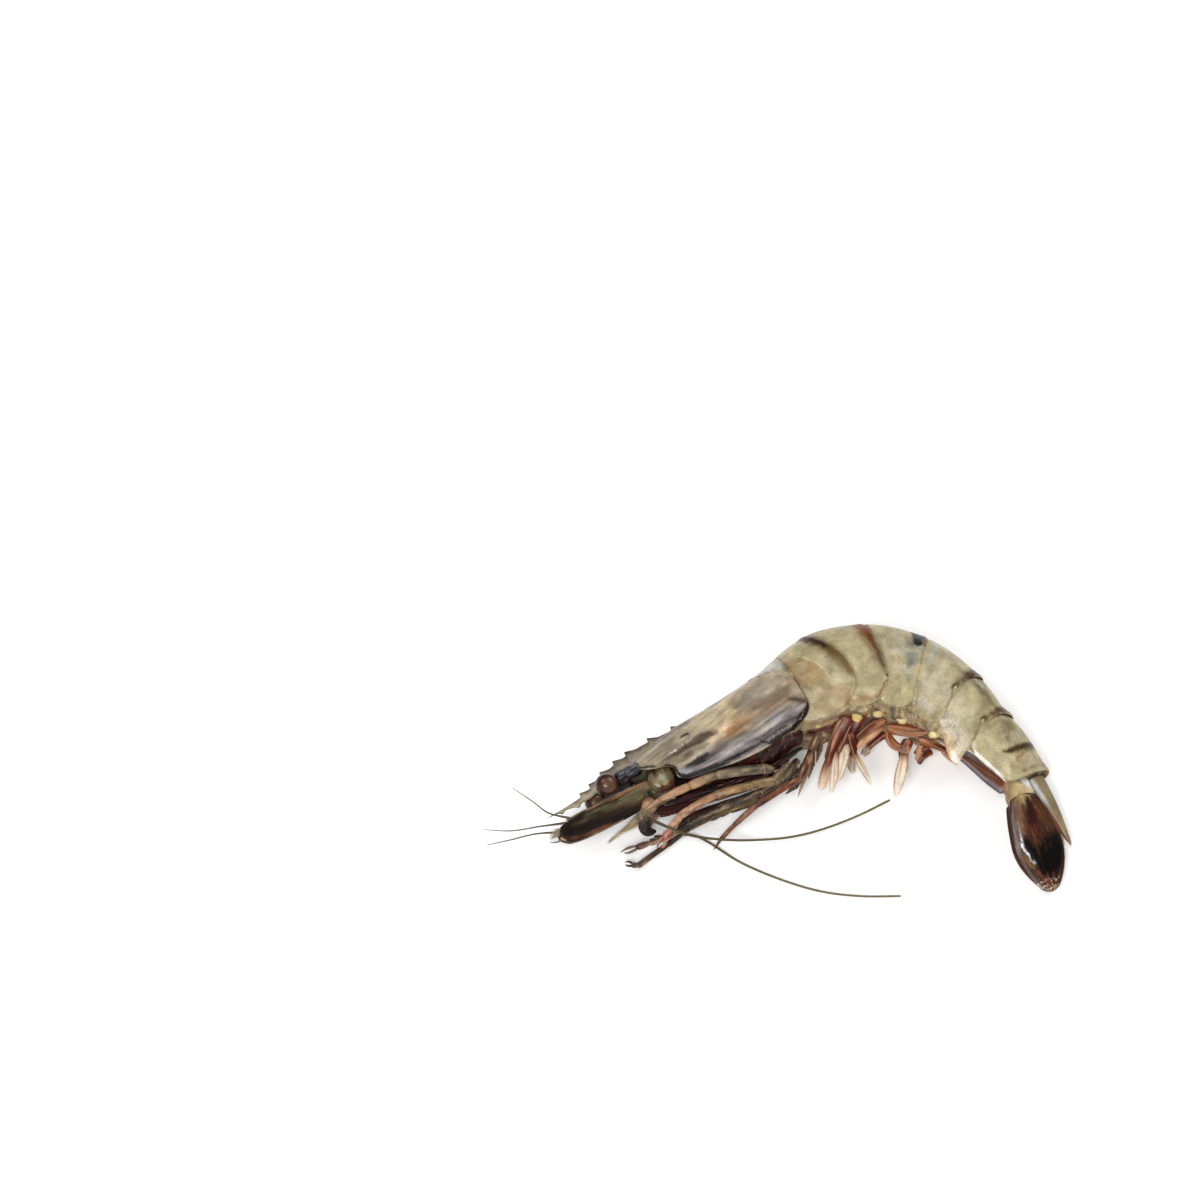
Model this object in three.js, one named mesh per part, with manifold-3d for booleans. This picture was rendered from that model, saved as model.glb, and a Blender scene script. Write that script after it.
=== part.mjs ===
// A raw tiger prawn, whole and in its shell, lying on its right side with its body curled.
// Millimetres, +Z up, the head towards -X, the tail towards +X and the back towards +Y.
// The origin is under the middle of the prawn, on the surface it lies on.
import * as THREE from "three";
import { mergeVertices } from "three/addons/utils/BufferGeometryUtils.js";
import Module from "manifold-3d";

const wasm = await Module();
wasm.setup();

// ---- driving dimensions, in millimetres and degrees ----
const GAP = 0.3; // clearance between pieces that touch
const REST_FLAT = 0.5; // depth of the flat that the lower flank is pressed to
const EYE_NOTCH = [-38.2, -8]; // where the body line starts, between the eyes
const CARAPACE_LENGTH = 53; // body line from the eye notch to the first hinge
const SOMITE_LENGTHS = [13.5, 11.5, 10, 11.5, 13, 19.5]; // hinge to hinge along the abdomen
const HEADINGS = [29, 28, 18, 6, -11, -36, -57, -65]; // direction of the body line at each hinge

// Body sections: place on the body line, height of the back above the line, depth of the side
// plates below it, and half the width.
const SECTIONS = [
  [-4, 5, 5, 6],
  [0, 7, 5.5, 7.5],
  [14, 9.8, 9, 10],
  [30, 10.4, 12, 12],
  [44, 12.2, 11.5, 13],
  [60, 17.1, 12.4, 12.8],
  [66.5, 17.7, 12.7, 12.6],
  [78, 16.1, 14.4, 12.4],
  [88, 12.8, 15.4, 12],
  [99.5, 9.4, 16, 11],
  [112.5, 7.5, 14.4, 9.5],
  [122, 9, 9.8, 8.2],
  [132, 9.5, 5.2, 6.4],
];
const BACK = SECTIONS.map(([s, back]) => [s, back]);
const DEPTH = SECTIONS.map(([s, , depth]) => [s, depth]);
const HALF_WIDTH = SECTIONS.map(([s, , , half]) => [s, half]);

// Angles round a section from the middle of the back: the widest place and the lower edge of
// the side plate. With 44 sides both fall on a corner of the mesh.
const AROUND = 44;
const WIDEST_ANGLE = 65.4545;
const EDGE_ANGLE = 114.5455;
const EDGE_HALF_WIDTH = 0.76; // of the half width
const BELLY_DEPTH = 0.73; // of the side plate's depth, at the middle of the belly
const ARCH_DEPTH = 0.5; // the same under the carapace, whose underside is an open arch

// Seams between shells: the place on the body line at these angles from the back, and in the
// middle. The first is the front edge of the carapace and the last the end of the sixth segment.
const SEAM_ANGLES = [0, 28, 56, 84, EDGE_ANGLE];
const SEAMS = [
  { edge: [-3, -1, 2.5, 8.3, 7], middle: 11 },
  { edge: [41, 41.8, 50, 50, 47.5], middle: 47 },
  { edge: [59.5, 61.3, 65.2, 66.7, 61.5], middle: 66.5 },
  { edge: [74, 74.8, 76.2, 77.4, 73], middle: 78 },
  { edge: [88.5, 88.3, 88, 88, 87.5], middle: 88 },
  { edge: [105, 105, 102.3, 102.5, 106.5], middle: 99.5 },
  { edge: [117.2, 117, 115, 115.5, 120], middle: 112.5 },
  { edge: [132.5, 132.5, 132.5, 132.3, 131], middle: 132 },
];
const TUCK = 0.35; // how far a shell's front edge is let in under the one before it

const radians = THREE.MathUtils.degToRad;

// A smooth value through a list of [place, value] knots.
function ease(knots, place) {
  const last = knots.length - 1;
  const at = THREE.MathUtils.clamp(place, knots[0][0], knots[last][0]);
  let i = 0;
  while (i < last - 1 && knots[i + 1][0] <= at) i += 1;
  const slope = (k) => {
    const [before, after] = [knots[Math.max(k - 1, 0)], knots[Math.min(k + 1, last)]];
    return (after[1] - before[1]) / (after[0] - before[0]);
  };
  const [[x0, y0], [x1, y1]] = [knots[i], knots[i + 1]];
  const span = x1 - x0;
  const t = (at - x0) / span;
  const u = 1 - t;
  return y0 * (1 + 2 * t) * u * u + span * slope(i) * t * u * u
    + y1 * t * t * (3 - 2 * t) - span * slope(i + 1) * t * t * u;
}

// The body line: a chain of arcs, straight before the eye notch and after the last hinge.
function bodyLine(s) {
  const lengths = [CARAPACE_LENGTH, ...SOMITE_LENGTHS];
  let [x, y] = EYE_NOTCH;
  let left = s;
  for (let i = 0; i <= lengths.length; i += 1) {
    const from = radians(HEADINGS[i]);
    const straight = i === lengths.length || left < 0;
    const curvature = straight ? 0 : (radians(HEADINGS[i + 1]) - from) / lengths[i];
    const run = straight ? left : Math.min(left, lengths[i]);
    const to = from + curvature * run;
    x += curvature ? (Math.sin(to) - Math.sin(from)) / curvature : Math.cos(from) * run;
    y -= curvature ? (Math.cos(to) - Math.cos(from)) / curvature : -Math.sin(from) * run;
    left -= run;
    if (left === 0) return { x, y, heading: to };
  }
  return { x, y, heading: radians(HEADINGS.at(-1)) };
}

// A point from its place on the body line, its distance towards the back and its height.
function at(s, back, height) {
  const { x, y, heading } = bodyLine(s);
  return new THREE.Vector3(x - Math.sin(heading) * back, y + Math.cos(heading) * back, height);
}

// The height of the body line: half a width above the surface, less the pressed flat.
const lineHeight = (s) => ease(HALF_WIDTH, Math.max(s, 0)) - REST_FLAT;

// The outline of a section as fractions: sideways, and towards the back or (negative) the belly.
function outline(angle, belly) {
  const turn = Math.abs(THREE.MathUtils.radToDeg(angle));
  const side = angle < 0 ? -1 : 1;
  if (turn <= WIDEST_ANGLE) {
    const arc = (turn / WIDEST_ANGLE) * Math.PI / 2;
    return [side * Math.sin(arc), Math.cos(arc)];
  }
  if (turn <= EDGE_ANGLE) {
    const down = ((turn - WIDEST_ANGLE) / (EDGE_ANGLE - WIDEST_ANGLE)) ** 0.83;
    return [side * (1 - (1 - EDGE_HALF_WIDTH) * down ** 2.7), -down];
  }
  const out = (180 - turn) / (180 - EDGE_ANGLE);
  return [side * EDGE_HALF_WIDTH * out, -(belly + (1 - belly) * out ** 3)];
}

// A point of the body at an angle round it; reach 1 is the shell's surface and 0 the body line.
function bodyPoint(s, angle, reach, belly, inset) {
  const [sideways, upright] = outline(angle, belly);
  const half = ease(HALF_WIDTH, s) - inset;
  const height = upright > 0 ? ease(BACK, s) - inset : ease(DEPTH, s) - inset;
  const point = at(s, upright * height * reach, lineHeight(s) + sideways * half * reach);
  point.z = Math.max(point.z, 0);
  return point;
}

// The place of a seam on the body line, at an angle round the body and a reach from its middle.
function seamAt({ edge, middle }, angle, reach) {
  const turn = Math.abs(THREE.MathUtils.radToDeg(angle));
  const knots = SEAM_ANGLES.map((seamAngle, i) => [seamAngle, edge[i]]);
  const belly = (turn - EDGE_ANGLE) / (180 - EDGE_ANGLE);
  const rim = belly > 0 ? THREE.MathUtils.lerp(edge.at(-1), middle, belly) : ease(knots, turn);
  return THREE.MathUtils.lerp(middle, rim, reach);
}

// One closed body from a geometry whose points are moved by place(point).
function shape(geometry, place) {
  const position = geometry.getAttribute("position");
  const point = new THREE.Vector3();
  for (let i = 0; i < position.count; i += 1) {
    const { x, y, z } = place(point.fromBufferAttribute(position, i));
    position.setXYZ(i, x, y, z);
  }
  geometry.deleteAttribute("normal");
  geometry.deleteAttribute("uv");
  return facingOut(mergeVertices(geometry, 1e-3));
}

// The same mesh without collapsed triangles and with all its faces pointing out.
function facingOut(geometry) {
  const position = geometry.getAttribute("position");
  const index = geometry.index ? [...geometry.index.array] : [...Array(position.count).keys()];
  const corner = (i) => new THREE.Vector3().fromBufferAttribute(position, i);
  const kept = [];
  let volume = 0;
  for (let i = 0; i < index.length; i += 3) {
    const [a, b, c] = index.slice(i, i + 3);
    if (a === b || b === c || c === a) continue;
    kept.push([a, b, c]);
    volume += corner(a).dot(corner(b).cross(corner(c)));
  }
  geometry.setIndex(kept.flatMap(([a, b, c]) => (volume < 0 ? [a, c, b] : [a, b, c])));
  return geometry;
}

// Two closed bodies joined into one, with corners closer than a weld's width made one corner.
const WELD = 0.08;

function join(first, second) {
  const solids = [first, second].map((geometry) => new wasm.Manifold(new wasm.Mesh({
    numProp: 3,
    vertProperties: new Float32Array(geometry.getAttribute("position").array),
    triVerts: new Uint32Array(geometry.index.array),
  })));
  const { vertProperties, triVerts } = solids[0].add(solids[1]).getMesh();
  const joined = new THREE.BufferGeometry();
  joined.setAttribute("position", new THREE.BufferAttribute(vertProperties, 3));
  joined.setIndex(new THREE.BufferAttribute(triVerts, 1));
  return facingOut(mergeVertices(joined, WELD));
}

const prawn = new THREE.Group();

function addPiece(name, geometry, colour, roughness) {
  const material = new THREE.MeshStandardMaterial({ color: colour, roughness, metalness: 0 });
  geometry.computeVertexNormals();
  const piece = new THREE.Mesh(geometry, material);
  piece.name = name;
  prawn.add(piece);
}

// ---- shells: the carapace over the head and thorax, and the six abdominal segments ----
const SHELL_COLOUR = "#a89a7c";
const BROWN_SHELL = "#7d6a52";
const WET = 0.3;

function shell(front, back, { belly, rows, inset }) {
  const tube = new THREE.CylinderGeometry(1, 1, 1, AROUND, rows);
  return shape(tube, ({ x, y, z }) => {
    const reach = Math.hypot(x, z);
    const angle = Math.atan2(x, z);
    const along = 0.5 - y;
    const first = seamAt(front, angle, reach) + GAP / 2;
    const final = seamAt(back, angle, reach) - GAP / 2;
    const s = THREE.MathUtils.lerp(first, final, along);
    return bodyPoint(s, angle, reach, belly, along === 0 ? inset : 0);
  });
}

// The rostrum is a saw-edged blade on the middle of the carapace, running out past the eyes.
const ROSTRUM_TIP = [-29.2, 4.4]; // place on the body line and distance towards the back
const CREST = [ROSTRUM_TIP, [-17, 5.6], [-8, 8.8], [2, 10.8], [15.5, 10.3], [22, 9.4]];
const TEETH = [-17.2, -13.5, -9, -4, 0.5, 8, 15.5]; // the points of the upper teeth
const TOOTH = { height: 1.2, length: 3.4, undercut: 0.4 };
const KEEL = [[22, 7.5], [2, 5.5], [-5, 5.6], [-10, 4.9], [-15, 3.8], [-18.2, 3.6], [-19, 2.8],
  [-20.5, 3.5], [-23.3, 3.9], [-24.1, 3.3], [-25.5, 4]]; // lower edge with two small teeth
const ROSTRUM_THICKNESS = [[-29.2, 0.7], [2, 2.4], [22, 2.4]];

function rostrum() {
  const saw = new THREE.Shape();
  saw.moveTo(...ROSTRUM_TIP);
  for (const tooth of TEETH) {
    saw.lineTo(tooth + TOOTH.undercut, ease(CREST, tooth + TOOTH.undercut));
    saw.lineTo(tooth, ease(CREST, tooth) + TOOTH.height);
    saw.lineTo(tooth + TOOTH.length, ease(CREST, tooth + TOOTH.length));
  }
  saw.lineTo(...CREST.at(-1));
  for (const [s, back] of KEEL) saw.lineTo(s, back);
  const plate = new THREE.ExtrudeGeometry(saw, { depth: 1, bevelEnabled: false });
  return shape(plate, ({ x, y, z }) => {
    const sideways = (z - 0.5) * ease(ROSTRUM_THICKNESS, x);
    return at(x, y, lineHeight(x) + sideways);
  });
}

const carapace = shell(SEAMS[0], SEAMS[1], { belly: ARCH_DEPTH, rows: 13, inset: 0 });
addPiece("carapace", join(carapace, rostrum()), BROWN_SHELL, WET);
for (let i = 1; i < SEAMS.length - 1; i += 1) {
  const somite = shell(SEAMS[i], SEAMS[i + 1], { belly: BELLY_DEPTH, rows: 4, inset: TUCK });
  addPiece(`abdomen_segment_${i}`, somite, SHELL_COLOUR, WET);
}

// ---- thorax: the body under the carapace that carries the legs ----
// Its upper side follows the arch of the carapace, and its lower side is rounded.
const THORAX = { front: 11, back: 46, underside: 1.12, clearance: 0.5 };
const THORAX_WIDTH = [[11, 0.3], [18, 0.35], [30, 0.5], [46, 0.58]]; // of the half width

function thorax() {
  const tube = new THREE.CylinderGeometry(1, 1, 1, 20, 6);
  return shape(tube, ({ x, y, z }) => {
    const s = THREE.MathUtils.lerp(THORAX.front, THORAX.back, 0.5 - y);
    const depth = ease(DEPTH, s);
    const width = ease(THORAX_WIDTH, s);
    const archAt = (fraction) => {
      const arch = ARCH_DEPTH + (1 - ARCH_DEPTH) * (fraction / EDGE_HALF_WIDTH) ** 3;
      return -depth * arch - THORAX.clearance;
    };
    const onAxis = x === 0 && z === 0; // the middle of an end face
    const top = archAt(Math.abs(x) * width);
    const bottom = THREE.MathUtils.lerp(archAt(width), -depth * THORAX.underside, Math.max(-z, 0));
    const back = z < 0 ? bottom : top;
    const middle = (archAt(0) - depth * THORAX.underside) / 2;
    return at(s, onAxis ? middle : back, lineHeight(s) + x * width * ease(HALF_WIDTH, s));
  });
}
addPiece("thorax", thorax(), "#3a2524", 0.35);

// ---- limbs: round or flattened tubes that taper from knee to knee ----
// A limb has the points of its joints and its radius at each; its height is flat times its width.
const ROWS_PER_JOINT = 2;
const LEAST_RADIUS = 0.1;

function limb(points, radii, { flat = 1, sides = 7 } = {}) {
  const route = new THREE.CatmullRomCurve3(points, false, "centripetal");
  const rows = (points.length - 1) * ROWS_PER_JOINT;
  const thickness = radii.map((radius, i) => [i / (points.length - 1), radius]);
  const tube = new THREE.CylinderGeometry(1, 1, 1, sides, rows);
  const up = new THREE.Vector3(0, 0, 1);
  return shape(tube, ({ x, y, z }) => {
    const along = 0.5 - y;
    const centre = route.getPoint(along);
    const across = new THREE.Vector3().crossVectors(route.getTangent(along), up).normalize();
    const over = new THREE.Vector3().crossVectors(across, route.getTangent(along));
    const radius = Math.max(ease(thickness, along), LEAST_RADIUS);
    return centre.addScaledVector(across, x * radius).addScaledVector(over, z * radius * flat);
  });
}

const onBody = (points) => points.map(([s, back, height]) => at(s, back, height));
const inPlace = (points) => points.map(([x, y, z]) => new THREE.Vector3(x, y, z));

// Third maxillipeds and walking legs: the joints as places on the body line, distances towards
// the back (all on the belly side) and heights. The upper ones are the left ones.
const LEG_COLOUR = "#7a4a38";
const THORACIC_LIMBS = {
  maxilliped_left: {
    joints: [[34, -15.6, 13], [31, -15, 15], [18, -10.6, 16], [10, -9.7, 15], [1, -8.6, 13],
      [-5.5, -8.7, 11]],
    radii: [1.5, 1.8, 1.6, 1.4, 1.2, 0.6],
  },
  leg_1_left: {
    joints: [[39, -16.5, 12.5], [33, -18.9, 12.3], [26, -17, 12.5], [16, -14.3, 11.5],
      [4.5, -14.2, 9.2], [0, -16.2, 7.8], [-5.5, -18.9, 5.5]],
    radii: [1.4, 1.6, 1.4, 1.3, 1.3, 1.4, 0.5],
  },
  leg_2_left: {
    joints: [[42.5, -15.8, 10.4], [36, -18.3, 8], [28.8, -18.4, 8], [13.8, -16.7, 6.7],
      [6.5, -16.3, 5.6], [-1, -16.9, 5], [-6, -15.6, 4.2], [-14.8, -13.5, 2]],
    radii: [1.3, 1.4, 1.3, 1.1, 1.1, 1, 1.1, 0.4],
  },
  leg_3_left: {
    joints: [[42, -16.8, 6.9], [36, -18.7, 5.2], [28.8, -18.5, 4.7], [13.5, -17.1, 4.1],
      [6.2, -16.8, 3.4], [-1.8, -18.1, 2.9], [-12.2, -19.3, 1.8], [-15.2, -16.4, 1.4]],
    radii: [1.2, 1.3, 1.2, 1.1, 1, 0.9, 1, 0.4],
  },
  leg_4_left: {
    joints: [[47, -16, 12.4], [40.5, -20.8, 9.8], [25.8, -21.5, 8], [18, -22.5, 4.4],
      [12.5, -24, 2.8], [9.4, -25.6, 2.3]],
    radii: [1.3, 1.2, 1.1, 0.8, 0.7, 0.4],
  },
  leg_5_left: {
    joints: [[52, -11.5, 11.5], [47.8, -14.6, 8], [44, -18.8, 4.5], [39.5, -22.5, 2]],
    radii: [1.2, 1.2, 0.9, 0.4],
  },
  maxilliped_right: {
    joints: [[34, -14.2, 4.8], [28, -13.6, 2.6], [18, -11.6, 2.1], [10, -10.2, 1.9],
      [3, -9.8, 1.7]],
    radii: [1.3, 1.3, 1.3, 1.2, 0.6],
  },
  leg_1_right: {
    joints: [[38, -15.6, 4.2], [34, -16.4, 2.8], [28, -16.4, 2], [18, -14.3, 1.7], [8, -13, 1.5],
      [3, -13, 1.3]],
    radii: [1.3, 1.3, 1.1, 1.1, 1, 0.5],
  },
  leg_2_right: {
    joints: [[42, -16.6, 4.2], [38, -18.2, 2.4], [30, -18.9, 1.5], [20, -17, 1.4],
      [12, -16.2, 1.2]],
    radii: [1.2, 1.1, 1.1, 1, 0.5],
  },
  leg_3_right: {
    joints: [[45.5, -15.4, 3.6], [42.5, -18, 2], [40, -19.4, 1.3], [37, -20, 1.2]],
    radii: [1.2, 1.1, 1, 0.5],
  },
  leg_4_right: {
    joints: [[49, -13.4, 6.5], [47.5, -16.4, 3], [45.4, -18.6, 1.2]],
    radii: [1.1, 1, 0.5],
  },
  leg_5_right: {
    joints: [[53, -11.5, 7], [51.6, -13.6, 3.6], [50, -15.4, 1.5]],
    radii: [1.1, 1, 0.5],
  },
};
for (const [name, { joints, radii }] of Object.entries(THORACIC_LIMBS)) {
  addPiece(name, limb(onBody(joints), radii), LEG_COLOUR, 0.4);
}

// ---- swimming legs: a stout stem and a flat tapering blade, a pair under each segment ----
const PLEOPOD_COLOUR = "#b98a6a";
const PLEOPOD_FLATNESS = 0.55;
const PLEOPOD_RADII = [1.7, 2, 1.8, 1.6, 0.5]; // at the joints, counted back from the tip
const PLEOPODS = {
  pleopod_1_left: [[18.3, 9.6, 15.5], [16.8, 7, 14], [15.5, 3.6, 12], [14.3, -2.8, 10],
    [13, -9.4, 8]],
  pleopod_2_left: [[24.3, 9.2, 15.5], [21.4, 6.6, 14], [19, 3, 12], [18, -3.7, 10],
    [16.7, -10.1, 8]],
  pleopod_3_left: [[31, 9, 15.5], [27.2, 6.8, 14], [24.5, 3.6, 12], [25.4, -2, 9],
    [27.6, -6.8, 7]],
  pleopod_4_left: [[37.8, 8, 14.5], [34.6, 6.4, 13], [34.4, 2.8, 11], [36.6, -3.4, 8],
    [35.4, -10.4, 6]],
  pleopod_5_left: [[46, 3.4, 13], [43, 2.6, 11.5], [40.5, 1.4, 10], [41.5, -0.8, 8]],
  pleopod_1_right: [[19.2, 8.8, 6.4], [18.4, 6.6, 4.2], [18.6, 4.2, 2.6], [19.4, -0.6, 1.8],
    [19.2, -3.4, 1.5]],
  pleopod_2_right: [[25.5, 10.2, 5], [24.2, 7.6, 3.2], [23.2, 4.2, 2.2], [22.8, 1.4, 1.8],
    [23.4, -1.2, 1.5]],
  pleopod_3_right: [[33.4, 10, 5], [30.4, 8.4, 3.4], [28, 6.4, 2.2], [26.6, 4.6, 1.6]],
  pleopod_4_right: [[39.6, 7.4, 5], [38, 5.4, 3.2], [38.2, 2.4, 2], [38, -1.9, 1.4]],
  pleopod_5_right: [[46.4, 4.2, 4.6], [44.2, 3.4, 3], [42.6, 1.4, 1.6]],
};
for (const [name, points] of Object.entries(PLEOPODS)) {
  const radii = points.map((_, i) => PLEOPOD_RADII.at(i - points.length));
  addPiece(name, limb(inPlace(points), radii, { flat: PLEOPOD_FLATNESS }), PLEOPOD_COLOUR, 0.4);
}

// ---- eyes on their stalks ----
// A ball or egg set square to the head: its radii run along the head, towards the back and up.
function ball(centre, radii) {
  const [x0, y0, z0] = centre.toArray();
  const [along, back, up] = radii;
  const heading = radians(HEADINGS[0]);
  return shape(new THREE.SphereGeometry(1, 12, 8), ({ x, y, z }) => new THREE.Vector3(
    x0 + Math.cos(heading) * x * along - Math.sin(heading) * z * back,
    y0 + Math.sin(heading) * x * along + Math.cos(heading) * z * back,
    z0 + y * up,
  ));
}

const STALK_RADIUS = 1.9;
const EYES = {
  left: { eye: [-10.2, 2.8, 13.4], radius: 3.1, stalk: [[-0.8, 3.6, 11], [-6.6, 3, 12.4]] },
  right: { eye: [-14.5, 3.6, 3.5], radius: 2.7, stalk: [[-1.2, 3.6, 3.8], [-11.2, 3.7, 3.5]] },
};
for (const [side, { eye, radius, stalk }] of Object.entries(EYES)) {
  addPiece(`eye_${side}`, ball(at(...eye), [radius, radius, radius]), "#2a1712", 0.12);
  const middle = stalk[0].map((value, i) => (value + stalk[1][i]) / 2);
  const route = onBody([stalk[0], middle, stalk[1]]);
  addPiece(`eyestalk_${side}`, limb(route, route.map(() => STALK_RADIUS)), "#1d1b22", 0.3);
}

// ---- antennae: a round base, a bent stem, and a whip that trails on the surface ----
const WHIP_RADIUS = 0.6;
const WHIP_TAPER = 0.03; // of the radius, at each joint
const ANTENNAE = {
  left: {
    base: { centre: [4.6, -2.9, 11.3], radii: [4, 3.9, 3.6] },
    stem: [[0.8, -7.6, 8.2], [-2.4, -8.4, 8], [-4.5, -11.5, 7.6], [-5, -13.8, 7.6]],
    stemRadii: [2.2, 2.6, 2.6, 2.2],
    whip: [[-35.8, -20.4, 10.9], [-27.6, -23.8, 9.9], [-21.9, -24.3, 7.5], [-13.1, -23.7, 4],
      [-4.3, -22.5, 1.3], [4.4, -21.4, 0.75], [13.1, -19.2, 0.75], [23.4, -15.1, 0.75],
      [33.9, -9.7, 0.75]],
  },
  right: {
    base: { centre: [4.2, -3.2, 3.9], radii: [3.9, 3.8, 3.4] },
    stem: [[0.6, -7.8, 3], [-2.8, -9.2, 2.7], [-4.6, -11.8, 2.5]],
    stemRadii: [2, 2.2, 2],
    whip: [[-34.9, -21.6, 1.2], [-30, -21, 0.75], [-24, -20.8, 0.75], [-19.5, -22.8, 0.75],
      [-10.2, -29.2, 0.75], [1.1, -34.5, 0.75], [12.5, -38.2, 0.75], [23.9, -39.7, 0.75],
      [35.6, -39.7, 0.75]],
  },
};
for (const [side, { base, stem, stemRadii, whip }] of Object.entries(ANTENNAE)) {
  addPiece(`antenna_base_${side}`, ball(at(...base.centre), base.radii), "#9c8458", 0.15);
  addPiece(`antenna_stem_${side}`, limb(onBody(stem), stemRadii), "#5b3a30", 0.35);
  const radii = whip.map((_, i) => WHIP_RADIUS * (1 - WHIP_TAPER * i));
  addPiece(`antenna_${side}`, limb(inPlace(whip), radii, { sides: 6 }), "#5e5138", 0.4);
}

// ---- antennules: a straight stem under each eye with two hair-thin feelers ----
const FEELER_RADIUS = 0.4;
const FEELER_TAPER = 0.12; // of the radius, at each joint
const ANTENNULES = {
  left: {
    stem: [[-1.5, 0.2, 8], [-6.2, 1.6, 8.3], [-16.2, 1.8, 8.9], [-24.6, 1.6, 8.3]],
    stemRadii: [2, 1.8, 1.6, 1.1],
    feelers: [
      [[-61, -18, 8.6], [-64.9, -18, 8.4], [-70.8, -11.6, 5], [-76.4, -6.4, 2]],
      [[-61.4, -19.7, 7], [-67.8, -19.8, 5], [-73.6, -19.5, 3], [-85, -19.2, 0.7]],
    ],
  },
  right: {
    stem: [[-2, -1.6, 3.2], [-6.2, -2, 3.2], [-16, -1.4, 3.2], [-25.6, -0.5, 3.2]],
    stemRadii: [1.8, 1.7, 1.5, 1],
    feelers: [
      [[-62.2, -21.2, 3.2], [-66.4, -20.9, 2.6], [-73.6, -21.7, 1.6], [-83.7, -23.9, 0.7]],
      [[-61.8, -22.6, 2.4], [-64, -23.6, 1.4], [-65.6, -24.2, 0.7]],
    ],
  },
};
for (const [side, { stem, stemRadii, feelers }] of Object.entries(ANTENNULES)) {
  addPiece(`antennule_${side}`, limb(onBody(stem), stemRadii), "#4a3c2c", 0.35);
  feelers.forEach((points, i) => {
    const radii = points.map((_, k) => FEELER_RADIUS * (1 - FEELER_TAPER * k));
    const name = `antennule_feeler_${side}_${i + 1}`;
    addPiece(name, limb(inPlace(points), radii, { sides: 5 }), "#6f6648", 0.5);
  });
}

// ---- flat blades: the antennal scales and the tail fan ----
// A leaf outline 1 long and 1 wide, from a narrow root through the widest place to a round tip.
const LEAF_ROOT = 0.22; // half width where the blade is hinged
const LEAF_SIDE = { start: [0.3, 0.62], end: [0.75, 0.68], corner: [0.94, 0.28] };
const LEAF_TIP = { reach: 1.02, half: 0.1 };

function leafOutline() {
  const { start, end, corner } = LEAF_SIDE;
  const { reach, half } = LEAF_TIP;
  const leaf = new THREE.Shape();
  leaf.moveTo(0, -LEAF_ROOT);
  leaf.bezierCurveTo(start[0], -start[1], end[0], -end[1], corner[0], -corner[1]);
  leaf.bezierCurveTo(reach, -half, reach, half, ...corner);
  leaf.bezierCurveTo(...end, ...start, 0, LEAF_ROOT);
  leaf.closePath();
  return leaf;
}

// A blade is that leaf at its own width and thickness, laid from one end to the other.
function blade({ from, to, width, thickness }) {
  const plate = new THREE.ExtrudeGeometry(
    leafOutline(),
    { depth: 1, bevelEnabled: false, curveSegments: 8 },
  );
  const [start, end] = [new THREE.Vector3(...from), new THREE.Vector3(...to)];
  const across = new THREE.Vector3().subVectors(end, start).setZ(0).normalize();
  across.set(-across.y, across.x, 0);
  return shape(plate, ({ x, y, z }) => {
    const point = start.clone().lerp(end, x);
    return point.addScaledVector(across, y * width).setZ(point.z + (z - 0.5) * thickness);
  });
}

const SCALES = {
  left: { from: at(-1.2, -4.4, 12.2), to: at(-29.6, -3.8, 9.8), width: 8.6, thickness: 0.9 },
  right: { from: at(-2, -0.6, 0.6), to: at(-28.4, -0.4, 0.6), width: 6.6, thickness: 0.7 },
};
for (const [side, scale] of Object.entries(SCALES)) {
  const { from, to } = scale;
  const placed = { ...scale, from: from.toArray(), to: to.toArray() };
  addPiece(`antennal_scale_${side}`, blade(placed), "#3b342a", 0.3);
}

const FAN = {
  left: {
    base: { centre: [135.8, -1, 9.4], radii: [3.2, 3.2, 2.5] },
    exopod: { from: [72.9, -14.8, 10.6], to: [77.3, -40, 3.4], width: 12.4, thickness: 0.9 },
    endopod: { from: [76, -14, 8], to: [82.4, -34, 3], width: 6.4, thickness: 0.8 },
  },
  right: {
    base: { centre: [135.8, -1.6, 3.4], radii: [3.2, 3, 2.4] },
    exopod: { from: [69.8, -14.6, 2.4], to: [77, -38.6, 0.8], width: 10, thickness: 0.8 },
    endopod: { from: [74.4, -14.4, 4.4], to: [79.6, -32, 2.2], width: 5.4, thickness: 0.7 },
  },
};
for (const [side, { base, exopod, endopod }] of Object.entries(FAN)) {
  addPiece(`uropod_base_${side}`, ball(at(...base.centre), base.radii), "#a88e66", 0.3);
  addPiece(`uropod_outer_${side}`, blade(exopod), "#2c1712", 0.3);
  addPiece(`uropod_inner_${side}`, blade(endopod), "#5a2c1e", 0.3);
}

// ---- telson: the pointed spine between the blades of the tail fan ----
const TELSON = { joints: [[133, 4.6, 6.2], [144, 5, 4.8], [155, 5, 3.2]], radii: [2.6, 1.7, 0.3] };
const telson = limb(onBody(TELSON.joints), TELSON.radii, { flat: 1.1, sides: 8 });
addPiece("telson", telson, "#8b7c58", 0.35);

export default prawn;
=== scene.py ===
import math

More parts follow.
